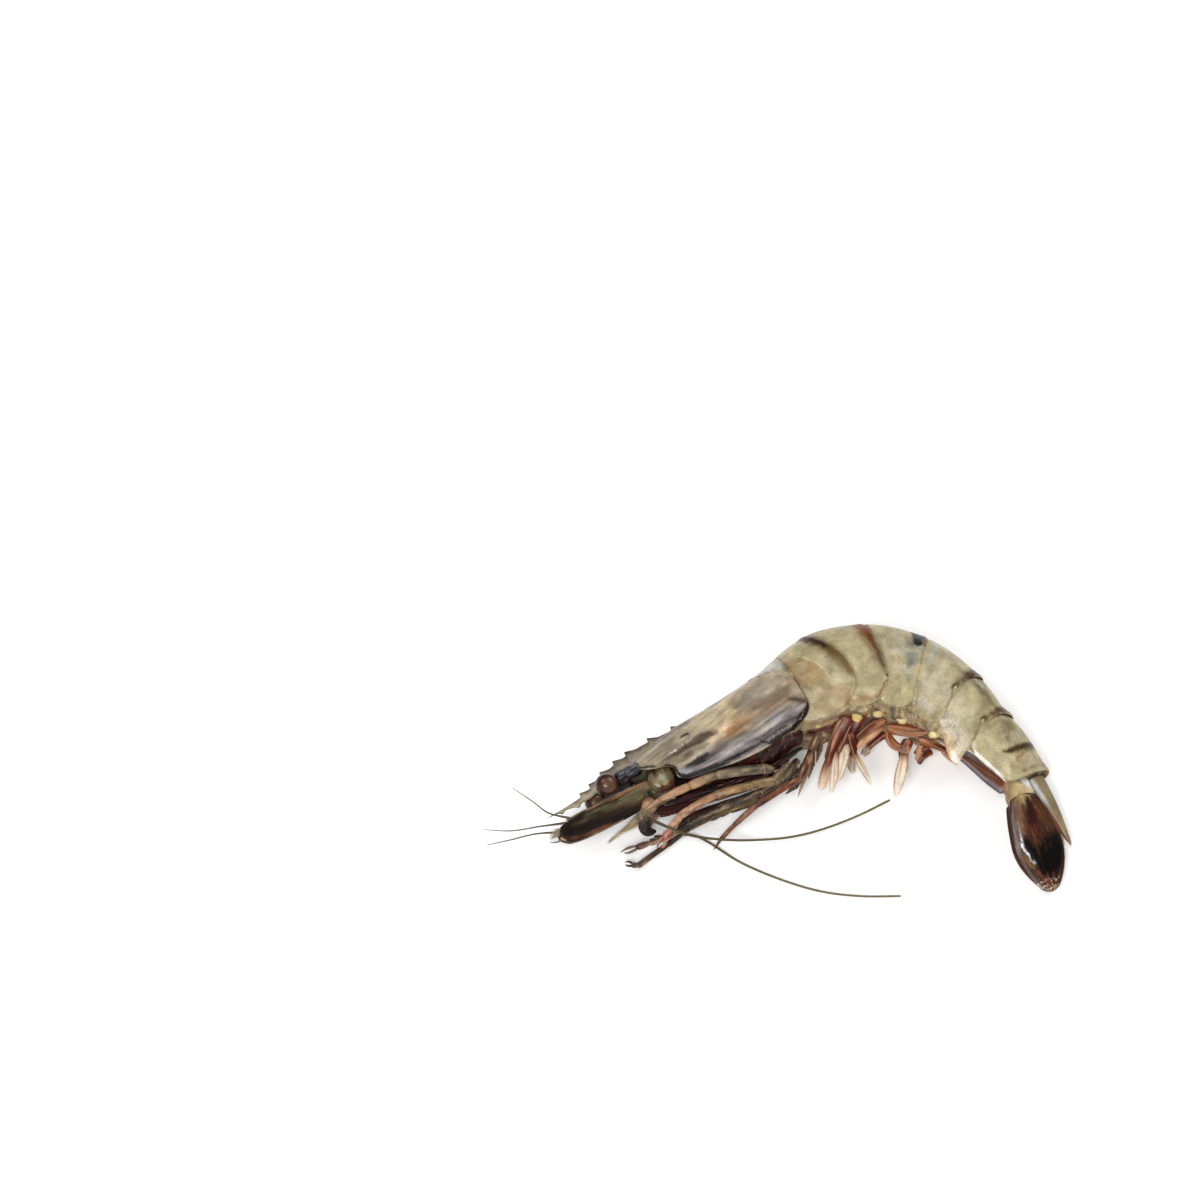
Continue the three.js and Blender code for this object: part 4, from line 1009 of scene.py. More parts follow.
def tube(name, points, width, thick, tint, rows, sides, cap, ribs=(), cup=None, slant=None,
         even=False):
    """A closed tube or blade along a route, width and thickness given along it."""
    points = np.asarray(points, float)

    def frame_of(u, v):
        t = u if even else 0.5 - 0.5 * np.cos(np.pi * u)
        turn = 2 * np.pi * v
        return t, np.cos(turn), np.sin(turn)

    def lay(u, v):
        t, across, over = frame_of(u, v)
        forward, side = facing(points, t, 1e-3)
        above = np.cross(side, forward)
        close = np.sqrt(np.clip(1 - (1 - np.minimum(t, 1 - t) / cap).clip(0, 1) ** 2, 0, 1))
        wide, tall = ease(width, t) * close / 2, ease(thick, t) * close / 2
        rise = tall * over
        for place, height, half in ribs:
            rise = rise + height * close * ridge(across, place, half) * np.sign(over)
        if cup is not None:
            rise = rise + ease(cup, t) * across ** 2
        point = along_route(points, t) + side * (wide * across)[:, None]
        point = point + above * rise[:, None]
        if slant is not None:
            point = point + forward * (ease(slant, t) * across)[:, None]
        point[:, 2] = np.maximum(point[:, 2], LOWEST)
        return point

    return laid_sheet(name, rows, sides, lay, lambda u, v: tint(*frame_of(u, v)), closed=True)


def blend(*stops):
    """Pigment that changes along a limb; the stops are (share of its length, ink)."""
    knots = np.array([stop for stop, _ in stops])
    inks = np.array([ink(shade) for _, shade in stops])
    return lambda t: np.stack([np.interp(t, knots, inks[:, k]) for k in range(3)], -1)


def body_route(points):
    return np.stack([at(s, back, height) for s, back, height in points])


def gill_shred(name, rng):
    """A limp red-brown thread of gill or small branch of a leg, along the body."""
    start, reach = rng.uniform(26, 46), rng.uniform(10, 22)
    end = max(start - reach, 5)
    low = rng.uniform(-1.2, 1.6)
    line = [(start, -13.4 + low - rng.uniform(0, 1), rng.uniform(7, 14)),
            ((start + end) / 2, -14.0 + low + rng.uniform(-0.8, 0.8), rng.uniform(8, 13)),
            (end, -10.5 - 0.1 * end + low, rng.uniform(6, 11))]
    girth = rng.uniform(0.5, 1.1)
    shade = blend((0, rng.choice(["#2a1512", "#4a1a14", "#7b2c20", "#5f4636", "#1c1413"])),
                  (1, rng.choice(["#6b2c1e", "#30211b", "#94604c", "#1a1211"])))
    width = scaled([(0, 1), (0.5, 1.3), (1, 0.3)], girth)
    return tube(name, body_route(line), width, width, lambda t, across, over: shade(t), 18, 7,
                0.05)


def shaded_inner_branch(route, width, shade, streaks):
    def tint(t, across, over):
        return wash(shade, (streaks, smooth(0.0, 0.35, clouds(t * 4, across * 3, 55, 3))))

    return tube("shaded_inner_branch", body_route(route), scaled([(0, 1), (0.8, 1), (1, 0.6)], width),
                [(0, 1.8), (1, 0.8)], tint, 40, 16, 0.06, ribs=((0.3, 0.3, 0.2),))


thorax = laid_sheet("thorax_underside", 90, 40, thorax_lay, thorax_tint, closed=True)
shreds_rng = np.random.default_rng(GILL_SHREDS["seed"])
shreds = [gill_shred("gill_shred", shreds_rng) for _ in range(GILL_SHREDS["count"])]
UNDERSIDE_SKIN = skin("dark_underside", mottle=0.6, rough=0.35, relief=0.3, soft=0.1)
branches = [shaded_inner_branch(*values) for values in SHADED_INNER_BRANCHES]
settle(joined("thorax_underside", thorax, *shreds, *branches), UNDERSIDE_SKIN, "dark_underside",
       "thorax")


# ---- walking legs and third maxillipeds ----
# Jointed limbs in tubes of thin shell, five pairs of legs and the feeding limbs before them.
# Each joint is a pale waist, and the first three pairs end in small pincers.
# joint: the pale waists; edge: dark streaks and joint rings, and also the painted shade on each
# joint's underside; ridge: pale streaks kept to the upper side, a painted highlight.
LEG_INK = {"joint": "#c0a07c", "edge": "#1d110e", "ridge": "#d8b48c"}


def pincer(name, start, forward, length, radius, tint):
    """A palm with two fingers, in place of a leg's last joint."""
    palm = start + forward * length * 0.5
    side = np.cross(forward, [0, 0, 1])
    side = side / np.linalg.norm(side)
    width = scaled([(0, 1.2), (0.6, 1.9), (1, 1.6)], radius)
    parts = [tube(name, [start, (start + palm) / 2, palm], width, scaled(width, 0.8), tint,
                  12, 12, 0.2)]
    width = scaled([(0, 0.8), (0.5, 0.65), (1, 0.2)], radius)
    for way, reach in ((1, 1.0), (-1, 0.9)):
        spread = side * way * 0.45 * radius
        tip = start + forward * length * reach + spread * 0.5
        bend = palm + forward * length * 0.25 + spread * 1.5
        parts.append(tube(name, [palm + spread - forward * 0.3, bend, tip], width, width, tint,
                          12, 8, 0.12))
    return parts


def limb(name, joints, radii, shades, pincered, seed):
    """A row of hollow joints, each slim where it starts and flared where it ends."""
    joints = np.asarray(joints, float)
    knots, shade = route_knots(joints), blend(*shades)
    parts = []
    for k, (start, end) in enumerate(zip(joints, joints[1:])):
        length = np.linalg.norm(end - start)
        forward = (end - start) / length
        r0, r1 = radii[k], radii[k + 1]

        def tint(t, across, over, k=k, length=length):
            lines = clouds(t * length * 0.35 + k, across * 2.6, 60 + seed, 3)
            seam = np.minimum(t, 1 - t) * length
            return wash(
                shade(knots[k] + (knots[k + 1] - knots[k]) * t),
                (LEG_INK["joint"], 0.25 * smooth(0.6, 0.1, seam)),
                # pale streaks on the upper side only: painted highlight
                (LEG_INK["ridge"], 0.5 * smooth(0.05, 0.4, lines) * smooth(-0.2, 0.6, over)),
                (LEG_INK["edge"], 0.75 * smooth(-0.1, -0.45, lines)),
                # darker underside: painted shade
                (LEG_INK["edge"], 0.7 * smooth(0.25, -0.7, over)),
                (LEG_INK["edge"], 0.45 * smooth(0.25, 0.05, np.abs(seam - 0.75))))

        last = k == len(joints) - 2
        if last and pincered:
            parts += pincer(name, start, forward, length, r0, tint)
            continue
        if last:
            width = [(0, 1.2 * r0), (0.2, 1.4 * r0), (0.6, 0.9 * r0), (1, 0.3 * r1)]
        else:
            width = [(0, 1.5 * r0), (0.15, 1.75 * r0), (0.6, 0.95 * (r0 + r1)),
                     (0.93, 1.9 * r1), (1, 1.6 * r1)]
        bow = (start + end) / 2 + np.array([0, 0, 0.04 * length])
        route = [start - forward * 0.6, bow, end + forward * 0.5]
        parts.append(tube(name, route, width, scaled(width, 0.72), tint, 22, 14,
                          min(0.2, 0.4 * r0 / length)))
    return joined(name, *parts)


LEGS = {
    "maxilliped_left": {
        "joints": [[34, -15.6, 13], [31, -15, 15], [18, -10.6, 16], [10, -9.7, 15], [1, -8.6, 13],
                   [-5.5, -8.7, 11]],
        "radii": [1.5, 1.8, 1.6, 1.4, 1.2, 0.6],
        "shades": [(0, "#5d5346"), (0.25, "#6f6555"), (0.45, "#8f7c62"), (0.55, "#b08a68"),
                   (0.8, "#b48663"), (0.93, "#8a7a55"), (1, "#6b5c42")]},
    "leg_1_left": {
        "joints": [[39, -16.5, 12.5], [33, -18.9, 12.3], [26, -17, 12.5], [16, -14.3, 11.5],
                   [4.5, -14.2, 9.2], [0, -16.2, 7.8], [-5.5, -18.9, 5.5]],
        "radii": [1.4, 1.6, 1.4, 1.3, 1.3, 1.4, 0.5], "pincer": True,
        "shades": [(0, "#4f4232"), (0.2, "#8a7552"), (0.4, "#a07e56"), (0.6, "#bd9070"),
                   (0.8, "#cda283"), (0.9, "#c98070"), (1, "#9a4a3c")]},
    "leg_2_left": {
        "joints": [[42.5, -15.8, 10.4], [36, -18.3, 8], [28.8, -18.4, 8], [13.8, -16.7, 6.7],
                   [6.5, -16.3, 5.6], [-1, -16.9, 5], [-6, -15.6, 4.2], [-14.8, -13.5, 2]],
        "radii": [1.3, 1.4, 1.3, 1.1, 1.1, 1, 1.1, 0.4], "pincer": True,
        "shades": [(0, "#3c3128"), (0.4, "#4a4038"), (0.7, "#3a3634"), (0.85, "#6a4a3f"),
                   (1, "#4a2a22")]},
    "leg_3_left": {
        "joints": [[42, -16.8, 6.9], [36, -18.7, 5.2], [28.8, -18.5, 4.7], [13.5, -17.1, 4.1],
                   [6.2, -16.8, 3.4], [-1.8, -18.1, 2.9], [-12.2, -19.3, 1.8],
                   [-15.2, -16.4, 1.4]],
        "radii": [1.2, 1.3, 1.2, 1.1, 1, 0.9, 1, 0.4], "pincer": True,
        "shades": [(0, "#5b4a2f"), (0.4, "#6d5b3c"), (0.7, "#453a30"), (1, "#5a4436")]},
    "leg_4_left": {
        "joints": [[47, -16, 12.4], [40.5, -20.8, 9.8], [25.8, -21.5, 8], [18, -22.5, 4.4],
                   [12.5, -24, 2.8], [9.4, -25.6, 2.3]],
        "radii": [1.3, 1.2, 1.1, 0.8, 0.7, 0.4],
        "shades": [(0, "#5a3524"), (0.3, "#7a4a33"), (0.6, "#8a5640"), (1, "#6d3b2c")]},
    "leg_5_left": {
        "joints": [[52, -11.5, 11.5], [47.8, -14.6, 8], [44, -18.8, 4.5], [39.5, -22.5, 2]],
        "radii": [1.2, 1.2, 0.9, 0.4],
        "shades": [(0, "#7a5236"), (0.5, "#8a6847"), (1, "#7b6f5c")]},
    "maxilliped_right": {
        "joints": [[34, -14.2, 4.8], [28, -13.6, 2.6], [18, -11.6, 2.1], [10, -10.2, 1.9],
                   [3, -9.8, 1.7]],
        "radii": [1.3, 1.3, 1.3, 1.2, 0.6],
        "shades": [(0, "#4a3a2c"), (0.6, "#7a5a44"), (1, "#8a7a58")]},
    "leg_1_right": {
        "joints": [[38, -15.6, 4.2], [34, -16.4, 2.8], [28, -16.4, 2], [18, -14.3, 1.7],
                   [8, -13, 1.5], [3, -13, 1.3]],
        "radii": [1.3, 1.3, 1.1, 1.1, 1, 0.5], "pincer": True,
        "shades": [(0, "#4a2a20"), (0.5, "#6f4a35"), (1, "#7d4436")]},
    "leg_2_right": {
        "joints": [[42, -16.6, 4.2], [38, -18.2, 2.4], [30, -18.9, 1.5], [20, -17, 1.4],
                   [12, -16.2, 1.2]],
        "radii": [1.2, 1.1, 1.1, 1, 0.5], "pincer": True,
        "shades": [(0, "#3b2a22"), (1, "#5a4638")]},
    "leg_3_right": {
        "joints": [[45.5, -15.4, 3.6], [42.5, -18, 2], [40, -19.4, 1.3], [37, -20, 1.2]],
        "radii": [1.2, 1.1, 1, 0.5],
        "shades": [(0, "#4a3024"), (1, "#6a5440")]},
    "leg_4_right": {
        "joints": [[49, -13.4, 6.5], [47.5, -16.4, 3], [45.4, -18.6, 1.2]],
        "radii": [1.1, 1, 0.5],
        "shades": [(0, "#5a3524"), (1, "#7a5a40")]},
    "leg_5_right": {
        "joints": [[53, -11.5, 7], [51.6, -13.6, 3.6], [50, -15.4, 1.5]],
        "radii": [1.1, 1, 0.5],
        "shades": [(0, "#6a4430"), (1, "#8a7050")]},
}
LEG_SKIN = skin("leg_shell", mottle=0.5, cells=0.35, cell_colour="#3b1a12", rough=0.3,
                relief=0.12, soft=0.2, depth=0.8, coat=1.0)
for seed, (name, leg) in enumerate(LEGS.items()):
    piece = limb(name + "_shell", body_route(leg["joints"]), leg["radii"], leg["shades"],
                 leg.get("pincer", False), seed)
    settle(piece, LEG_SKIN, "leg_shell", name)


# ---- swimming legs ----
# A pair hangs under each of the first five rings: a stout stem and two limp blades with a fringe
# of hairs, red-brown near the body and clear cream towards the tips.
SWIM_LEGS = {
    # each strap: route, widths, thicknesses, inks, hair length
    "pleopod_1_left": [
        ([(21.4, 10.6, 16), (18.6, 5.3, 13), (15.9, -0.8, 11)],
         [(0, 4.2), (0.4, 3.6), (0.8, 2.2), (1, 1.2)], [(0, 1.6), (1, 0.8)], "stem", 0),
        ([(22.6, 9.6, 15.4), (20.2, 4.6, 12.6), (18.6, 0.4, 11.2)],
         [(0, 2.4), (0.5, 2.0), (1, 0.8)], [(0, 1.4), (1, 0.8)], "dark stem", 0),
        ([(19.6, 9.8, 15.6), (17.2, 5.6, 12.8), (14.6, -1.0, 10.6)],
         [(0, 2.2), (0.5, 1.7), (1, 0.8)], [(0, 1.4), (1, 0.8)], "brown stem", 0),
        ([(17.0, 2.4, 11.5), (15.1, -3.5, 9.5), (13.2, -9.6, 8)],
         [(0, 1.8), (0.5, 2.8), (0.9, 2.2), (1, 1.2)], [(0, 1), (1, 0.25)], "dark blade", 1.6),
        ([(17.8, 1.8, 11), (17.3, -4.7, 9.5), (16.2, -10.4, 8)],
         [(0, 1.2), (0.5, 2.1), (1, 0.9)], [(0, 0.8), (1, 0.2)], "blade", 1.6)],
    "pleopod_2_left": [
        ([(25.4, 11.2, 16), (23.0, 7.4, 13.5), (20.6, 3.0, 11.6)],
         [(0, 3.2), (0.4, 3.2), (0.8, 2.0), (1, 1.0)], [(0, 1.6), (1, 0.8)], "stem", 0),
        ([(21.7, 6.8, 12), (20.2, 0.1, 10), (18.3, -6.8, 8)],
         [(0, 1.8), (0.45, 2.9), (0.8, 2.2), (1, 0.7)], [(0, 0.9), (1, 0.2)], "blade", 1.0),
        ([(20.5, 7.0, 12.6), (19.3, 4.3, 12.2), (18.3, 1.4, 11.6)],
         [(0, 1.4), (0.4, 1.5), (1, 0.4)], [(0, 0.7), (1, 0.2)], "tan blade", 0)],
    "pleopod_3_left": [
        ([(32.5, 8.9, 15.5), (28.3, 7.5, 14), (23.9, 4.4, 12.5)],
         [(0, 2.2), (0.4, 3.0), (1, 2.0)], [(0, 2), (1, 1.4)], "brown stem", 0),
        ([(31.5, 7.6, 14.5), (27.6, 5.8, 13), (24.0, 1.8, 11.8)],
         [(0, 1.6), (0.45, 3.8), (1, 1.2)], [(0, 0.6), (1, 0.3)], "tan blade", 0),
        ([(21.9, 6.0, 13), (22.4, 3.0, 12), (23.3, 0.0, 11)],
         [(0, 2.2), (1, 1.5)], [(0, 1.8), (1, 1.1)], "stem", 0),
        ([(23.0, 1.0, 11.5), (25.3, -2.9, 9), (27.9, -7.6, 7)],
         [(0, 1.2), (0.4, 1.9), (0.75, 1.4), (1, 0.25)], [(0, 0.8), (1, 0.2)], "blade", 0.7)],
    "pleopod_4_left": [
        ([(32.3, 6.9, 15), (38.5, 5.6, 15.5), (45.2, 5.6, 15)],
         [(0, 2.4), (0.3, 4.0), (0.7, 3.4), (1, 1.0)], [(0, 1.6), (1, 1)], "brown stem", 0),
        ([(32.6, 6.6, 14.3), (33.4, 3.9, 13), (35.3, 2.2, 12), (38.0, 1.6, 12)],
         [(0, 1.6), (0.5, 3.0), (1, 2.2)], [(0, 1.2), (1, 0.8)], "red stem", 0),
        ([(35.6, 4.2, 15.2), (40.2, 4.6, 15.6), (45.2, 6.0, 15.2)],
         [(0, 0.5), (0.5, 0.45), (1, 0.2)], [(0, 0.5), (1, 0.3)], "clear blade", 0),
        ([(39.2, 4.0, 13), (38.0, 1.8, 12), (37.1, 0.0, 11)],
         [(0, 2.6), (0.5, 3.0), (1, 2.2)], [(0, 2.2), (1, 1.4)], "stem", 0),
        ([(38.0, 1.6, 11.5), (36.6, -4.3, 8.5), (35.0, -11.0, 6)],
         [(0, 1.8), (0.35, 3.0), (0.7, 2.9), (0.92, 1.6), (1, 0.8)], [(0, 1), (1, 0.25)],
         "blade", 0.8),
        ([(42.4, 2.6, 12), (41.8, 0.6, 11), (41.0, -1.4, 10)],
         [(0, 1.8), (0.4, 2.2), (1, 0.9)], [(0, 0.9), (1, 0.3)], "tan blade", 0)],
    "pleopod_5_left": [
        ([(41.4, 3.6, 14), (46.1, 2.5, 12.5), (50.6, 0.9, 11)],
         [(0, 1.6), (0.3, 2.4), (0.8, 2.2), (1, 0.8)], [(0, 2), (1, 1.2)], "brown stem", 0),
        ([(46, 3.4, 12.4), (43, 2.0, 11.5), (40.5, 0.9, 10)],
         [(0, 2.4), (0.5, 2.6), (1, 1.0)], [(0, 1.8), (1, 0.6)], "stem", 0),
        ([(48.6, 1.6, 10), (51.0, -0.4, 9.6), (53.0, -2.4, 9.2)],
         [(0, 1.2), (0.5, 1.5), (1, 0.6)], [(0, 0.6), (1, 0.3)], "tan blade", 0)],
}
FAR_SWIM_LEGS = [
    # a far stem's route and end width, its blade's route, middle width and ink
    ([(19.2, 8.8, 6.4), (18.4, 6.6, 4.2), (18.6, 4.2, 2.6)], 2.4,
     [(18.6, 4.6, 2.8), (19.4, -0.6, 1.8), (19.2, -3.4, 1.5)], 2.6, "dark blade"),
    ([(25.5, 10.2, 5), (24.2, 7.6, 3.2), (23.2, 4.2, 2.2)], 2.2,
     [(23.2, 4.6, 2.3), (22.8, 1.4, 1.8), (23.4, -1.2, 1.5)], 2.4, "blade"),
    ([(33.4, 10, 5), (30.4, 8.4, 3.4), (28, 6.4, 2.2)], 2.0,
     [(28.4, 6.8, 2.4), (27.4, 5.4, 1.9), (26.6, 4.4, 1.6)], 2.2, "blade"),
    ([(39.6, 7.4, 5), (38, 5.4, 3.2), (38.2, 2.4, 2)], 2.0,
     [(38.2, 2.8, 2.2), (38.1, 0.4, 1.6), (38, -1.9, 1.4)], 2.4, "blade"),
]
for number, (stem, foot, blade, middle, kind) in enumerate(FAR_SWIM_LEGS, 1):
    SWIM_LEGS[f"pleopod_{number}_right"] = [
        (stem, [(0, 3), (1, foot)], [(0, 2.2), (1, 1.4)], "stem", 0),
        (blade, [(0, 1.8), (0.5, middle), (1, 0.8)], [(0, 0.9), (1, 0.25)], kind, 0.9)]
SWIM_LEGS["pleopod_5_right"] = [
    ([(46.4, 4.2, 4.6), (44.2, 3.4, 3), (42.6, 1.4, 1.6)],
     [(0, 2.6), (1, 1.4)], [(0, 2.0), (1, 1.0)], "stem", 0)]
SWIM_SHADES = {
    "stem": blend((0, "#86381f"), (0.4, "#641a0e"), (1, "#5c180e")),
    "red stem": blend((0, "#8c4a24"), (0.6, "#a0582e"), (1, "#7a3820")),
    "clear blade": blend((0, "#f1e4cf"), (1, "#f6ecdc")),
    "brown stem": blend((0, "#96521f"), (0.5, "#7a3f17"), (1, "#5a260f")),
    "dark stem": blend((0, "#3c0f0a"), (1, "#2a0806")),
    "blade": blend((0, "#6a2418"), (0.14, "#b07048"), (0.3, "#f2ddbc"), (0.6, "#fbefdb"),
                   (1, "#f6ead6")),
    "dark blade": blend((0, "#4a120c"), (0.4, "#6f2a1c"), (0.62, "#c0906c"), (1, "#eedcc4")),
    "tan blade": blend((0, "#a8642f"), (0.4, "#d2a074"), (1, "#c08c60")),
}


def bristles(name, roots, tips, radius, shade):
    """Short stiff hairs, each a slim three-sided spike."""
    roots, tips = np.asarray(roots, float), np.asarray(tips, float)
    forward = tips - roots
    forward /= np.linalg.norm(forward, axis=1)[:, None]
    side = np.cross(forward, [0.3, 0.2, 1.0])
    side /= np.linalg.norm(side, axis=1)[:, None]
    other = np.cross(forward, side)
    points = [roots + radius * (math.cos(a) * side + math.sin(a) * other)
              for a in (0, 2 * math.pi / 3, 4 * math.pi / 3)] + [tips]
    points = np.stack(points, 1).reshape(-1, 3)
    points[:, 2] = np.maximum(points[:, 2], LOWEST)
    faces = [(n + a, n + b, n + c) for n in range(0, len(points), 4)
             for a, b, c in ((0, 1, 3), (1, 2, 3), (2, 0, 3), (2, 1, 0))]
    mesh = bpy.data.meshes.new(name)
    mesh.from_pydata((points * MM).tolist(), [], faces)
    mesh.uv_layers.new(name="UVMap")
    set_pigment(mesh, np.broadcast_to(ink(shade), (len(points), 3)))
    piece = bpy.data.objects.new(name, mesh)
    bpy.context.collection.objects.link(piece)
    return piece


def fringe(points, width, length, count, shade, seed, start, inner=True, outer=True,
           radius=0.05):
    """Hairs along the edges and round the tip of a blade."""
    rng = np.random.default_rng(seed)
    points = np.asarray(points, float)
    t = np.linspace(start, 0.995, count)
    forward, side = facing(points, t, 0.01)
    rounding = np.sqrt(np.clip(1 - (1 - np.minimum(1, (1 - t) / 0.1)) ** 2, 0, 1))
    half = ease(width, t) / 2 * rounding
    roots, tips = [], []
    for way, wanted in ((1, outer), (-1, inner)):
        if not wanted:
            continue
        root = along_route(points, t) + side * (way * half * 0.97)[:, None]
        out = side * way * (0.75 - 0.5 * t)[:, None] + forward * (0.5 + 0.5 * t)[:, None]
        out += rng.normal(0, 0.12, out.shape)
        out /= np.linalg.norm(out, axis=1)[:, None]
        roots.append(root)
        tips.append(root + out * (length * rng.uniform(0.6, 1.1, len(t)))[:, None])
    return bristles("hairs", np.vstack(roots), np.vstack(tips), radius, shade)


def strap_tint(kind, seed):
    def tint(t, across, over):
        lines = clouds(t * 1.6 + seed, across * 3.2, 80 + seed, 3)
        if "stem" in kind:
            return wash(
                SWIM_SHADES[kind](t), ("#c8916a", 0.75 * smooth(0.1, 0.4, lines)),
                ("#320804", 0.8 * smooth(-0.05, -0.4, lines)),
                # pale line along the upper side: a painted highlight
                ("#d0a582", 0.5 * ridge(across, 0.55, 0.14) * smooth(-0.2, 0.3, over)))
        edge = smooth(0.68, 0.97, np.abs(across)) * smooth(1.02, 0.75, t)
        return wash(
            SWIM_SHADES[kind](t), ("#8c5237", 0.8 * edge),
            ("#a06a48", 0.55 * smooth(0.05, 0.35, lines)),
            ("#efe6d6", 0.6 * smooth(-0.1, -0.4, lines)),
            ("#7a5a3c", 0.5 * ridge(across, 0.15, 0.1) * smooth(0.9, 0.5, t)))
    return tint


def strap(name, route, width, thick, kind, hair, seed):
    flat = "blade" in kind
    parts = [tube(name, route, width, thick, strap_tint(kind, seed), 34, 18,
                  0.05 if flat else 0.08,
                  cup=[(0, 0), (0.5, -0.3), (1, 0)] if flat else None,
                  ribs=((0.15, 0.12, 0.12),) if flat else ((0.5, 0.15, 0.15),))]
    if hair:
        parts.append(fringe(route, width, hair, 34, "#cbb391", 100 + seed, 0.45))
    return parts


PLEOPOD_SKIN = skin("pleopod_shell", mottle=0.3, cells=0.25, cell_colour="#8a3a22", rough=0.35,
                    relief=0.12, soft=0.3, depth=0.8, coat=1.0)
for seed, (name, straps) in enumerate(SWIM_LEGS.items()):
    made = [part for k, (route, width, thick, kind, hair) in enumerate(straps)
            for part in strap(name, route, width, thick, kind, hair, 3 * seed + k)]
    settle(joined(name + "_straps", *made), PLEOPOD_SKIN, "pleopod_shell", name)


# ---- yellow muscle ends ----
# The ends of the leg muscles show yellow through the belly skin, one above each swimming leg.
# They are soft low lumps under the same wet skin.
YELLOW_LUMPS = [
    # centre, half length, half width, ink
    ((37.0, 9.3, 15.6), 1.7, 1.5, "#fff0b4"), ((29.9, 11.0, 16.6), 1.5, 1.5, "#ffeca8"),
    ((23.8, 10.4, 16.2), 1.4, 1.8, "#fbe08a"), ((18.4, 11.0, 16.4), 1.3, 1.6, "#e2c67a"),
    ((12.3, 7.6, 16.6), 1.1, 1.4, "#d0b56e"), ((46.0, 4.9, 14.8), 1.6, 1.3, "#ffeeb0"),
]
LUMP_SKIN = skin("yellow_muscle", mottle=0.15, cells=0.0, rough=0.35, relief=0.15, soft=0.3)


def lump(centre, long, wide, shade):
    deselect()
    bpy.ops.mesh.primitive_uv_sphere_add(segments=24, ring_count=16, radius=1)
    piece = bpy.context.object
    points = corners(piece.data) * (1.12 * long, 1.12 * wide, 0.95)
    points *= 1 + 0.4 * clouds(points[:, 0] + centre[0], points[:, 1], 210)[:, None]
    piece.data.vertices.foreach_set("co", ((points + centre) * MM).ravel())
    rim = smooth(0.5, 1.0, np.hypot(points[:, 0] / long, points[:, 1] / wide))
    set_pigment(piece.data, wash(shade, ("#d6ba80", 0.6 * rim)))
    bpy.ops.object.shade_smooth()
    return piece


lumps = [lump(*values) for values in YELLOW_LUMPS]
settle(joined("yellow_muscle_ends", *lumps), LUMP_SKIN, "banded_shell")


# ---- fold under the sixth ring ----
# A strip of pink-brown skin that is drawn tight below the sixth ring, from the point of the
# fifth ring's plate to the root of the tail fan, with a thin grey edge.
FOLD = {
    "route": [(53.0, 2.4, 7.0), (57.6, -1.0, 6.2), (62.6, -5.2, 6.0), (67.4, -8.8, 6.8)],
    "width": [(0, 1.6), (0.35, 2.8), (0.65, 4.0), (1, 5.6)],
}


def fold_tint(t, across, over):
    lines = clouds(t * 2.5, across * 4, 215, 3)
    return wash(
        "#a5745a", ("#6b4234", 0.8 * smooth(0.0, 0.35, lines)),
        ("#8a8088", 0.9 * smooth(0.5, 0.75, across + 0.3 * lines)),
        ("#3a2829", 0.8 * smooth(0.8, 0.98, across)),
        ("#a24a2c", 0.85 * smooth(0.75, 0.95, t) * smooth(0.3, 0.0, across)))


fold = tube("belly_fold", FOLD["route"], FOLD["width"], [(0, 2.0), (1, 2.6)], fold_tint, 40, 28,
            0.08, ribs=((-0.2, 0.25, 0.15), (0.35, 0.2, 0.12)))
settle(fold, FLESH_SKIN, "banded_shell")


# ---- eyes ----
# Round glossy eyes, near black brown, each on a short dark stalk that comes out from under the
# front rim of the carapace.
EYES = {
    "left": {"eye": (-10.2, 2.9, 13.4), "radius": 3.4,
             "stalk": [(1.2, 4.0, 11), (-3.0, 3.5, 12), (-7.4, 3, 12.6)]},
    "right": {"eye": (-13.7, 3.5, 3.6), "radius": 3.1,
              "stalk": [(-1.2, 3.6, 3.8), (-6.2, 3.7, 3.7), (-11.2, 3.7, 3.5)]},
}


def toward(u, v):
    """Directions over a ball, from pole to pole and once round."""
    polar, turn = np.pi * u, 2 * np.pi * v
    return np.sin(polar) * np.cos(turn), np.sin(polar) * np.sin(turn), np.cos(polar)


def eye_ball(side, centre, radius):
    middle = at(*centre)

    def lay(u, v):
        return middle + np.stack(toward(u, v), -1) * radius * np.array([1, 0.96, 0.94])

    def tint(u, v):
        # Lighter toward the upper front: a painted reflection on the glossy eye.
        painted_reflection = np.stack(toward(u, v), -1) @ np.array([0.25, -0.45, 0.86])
        return wash("#33190f", ("#6a4a37", 0.85 * smooth(0.55, 0.97, painted_reflection)))

    return laid_sheet(f"eye_{side}_ball", 48, 64, lay, tint, closed=True)


EYE_SKIN = skin("eye_ball", mottle=0.15, cells=0.0, rough=0.25, relief=0.01, soft=0.0,
                coat=2.0, coat_rough=0.03, shine=0.1)
STALK_SKIN = skin("eyestalk_skin", mottle=0.8, cells=0.2, rough=0.3, relief=0.3, soft=0.0,
                  coat=1.6, coat_rough=0.1)


def stalk_tint(t, across, over):
    pale = 0.8 * smooth(0.1, 0.45, clouds(t * 4, across * 6, 120, 4))
    return wash("#1f1a1e", ("#7b7880", pale))


for side, eye in EYES.items():
    settle(eye_ball(side, eye["eye"], eye["radius"]), EYE_SKIN, "eye", f"eye_{side}")
    stalk = tube(f"eyestalk_{side}_skin", body_route(eye["stalk"]),
                 [(0, 4.4), (0.5, 4.2), (0.8, 4.6), (1, 4.6)], [(0, 4.4), (0.5, 3.8), (1, 4.2)],
                 stalk_tint, 60, 48, 0.14, ribs=((0.3, 0.25, 0.1), (-0.35, 0.25, 0.12)))
    settle(stalk, STALK_SKIN, "eyestalk_skin", f"eyestalk_{side}")


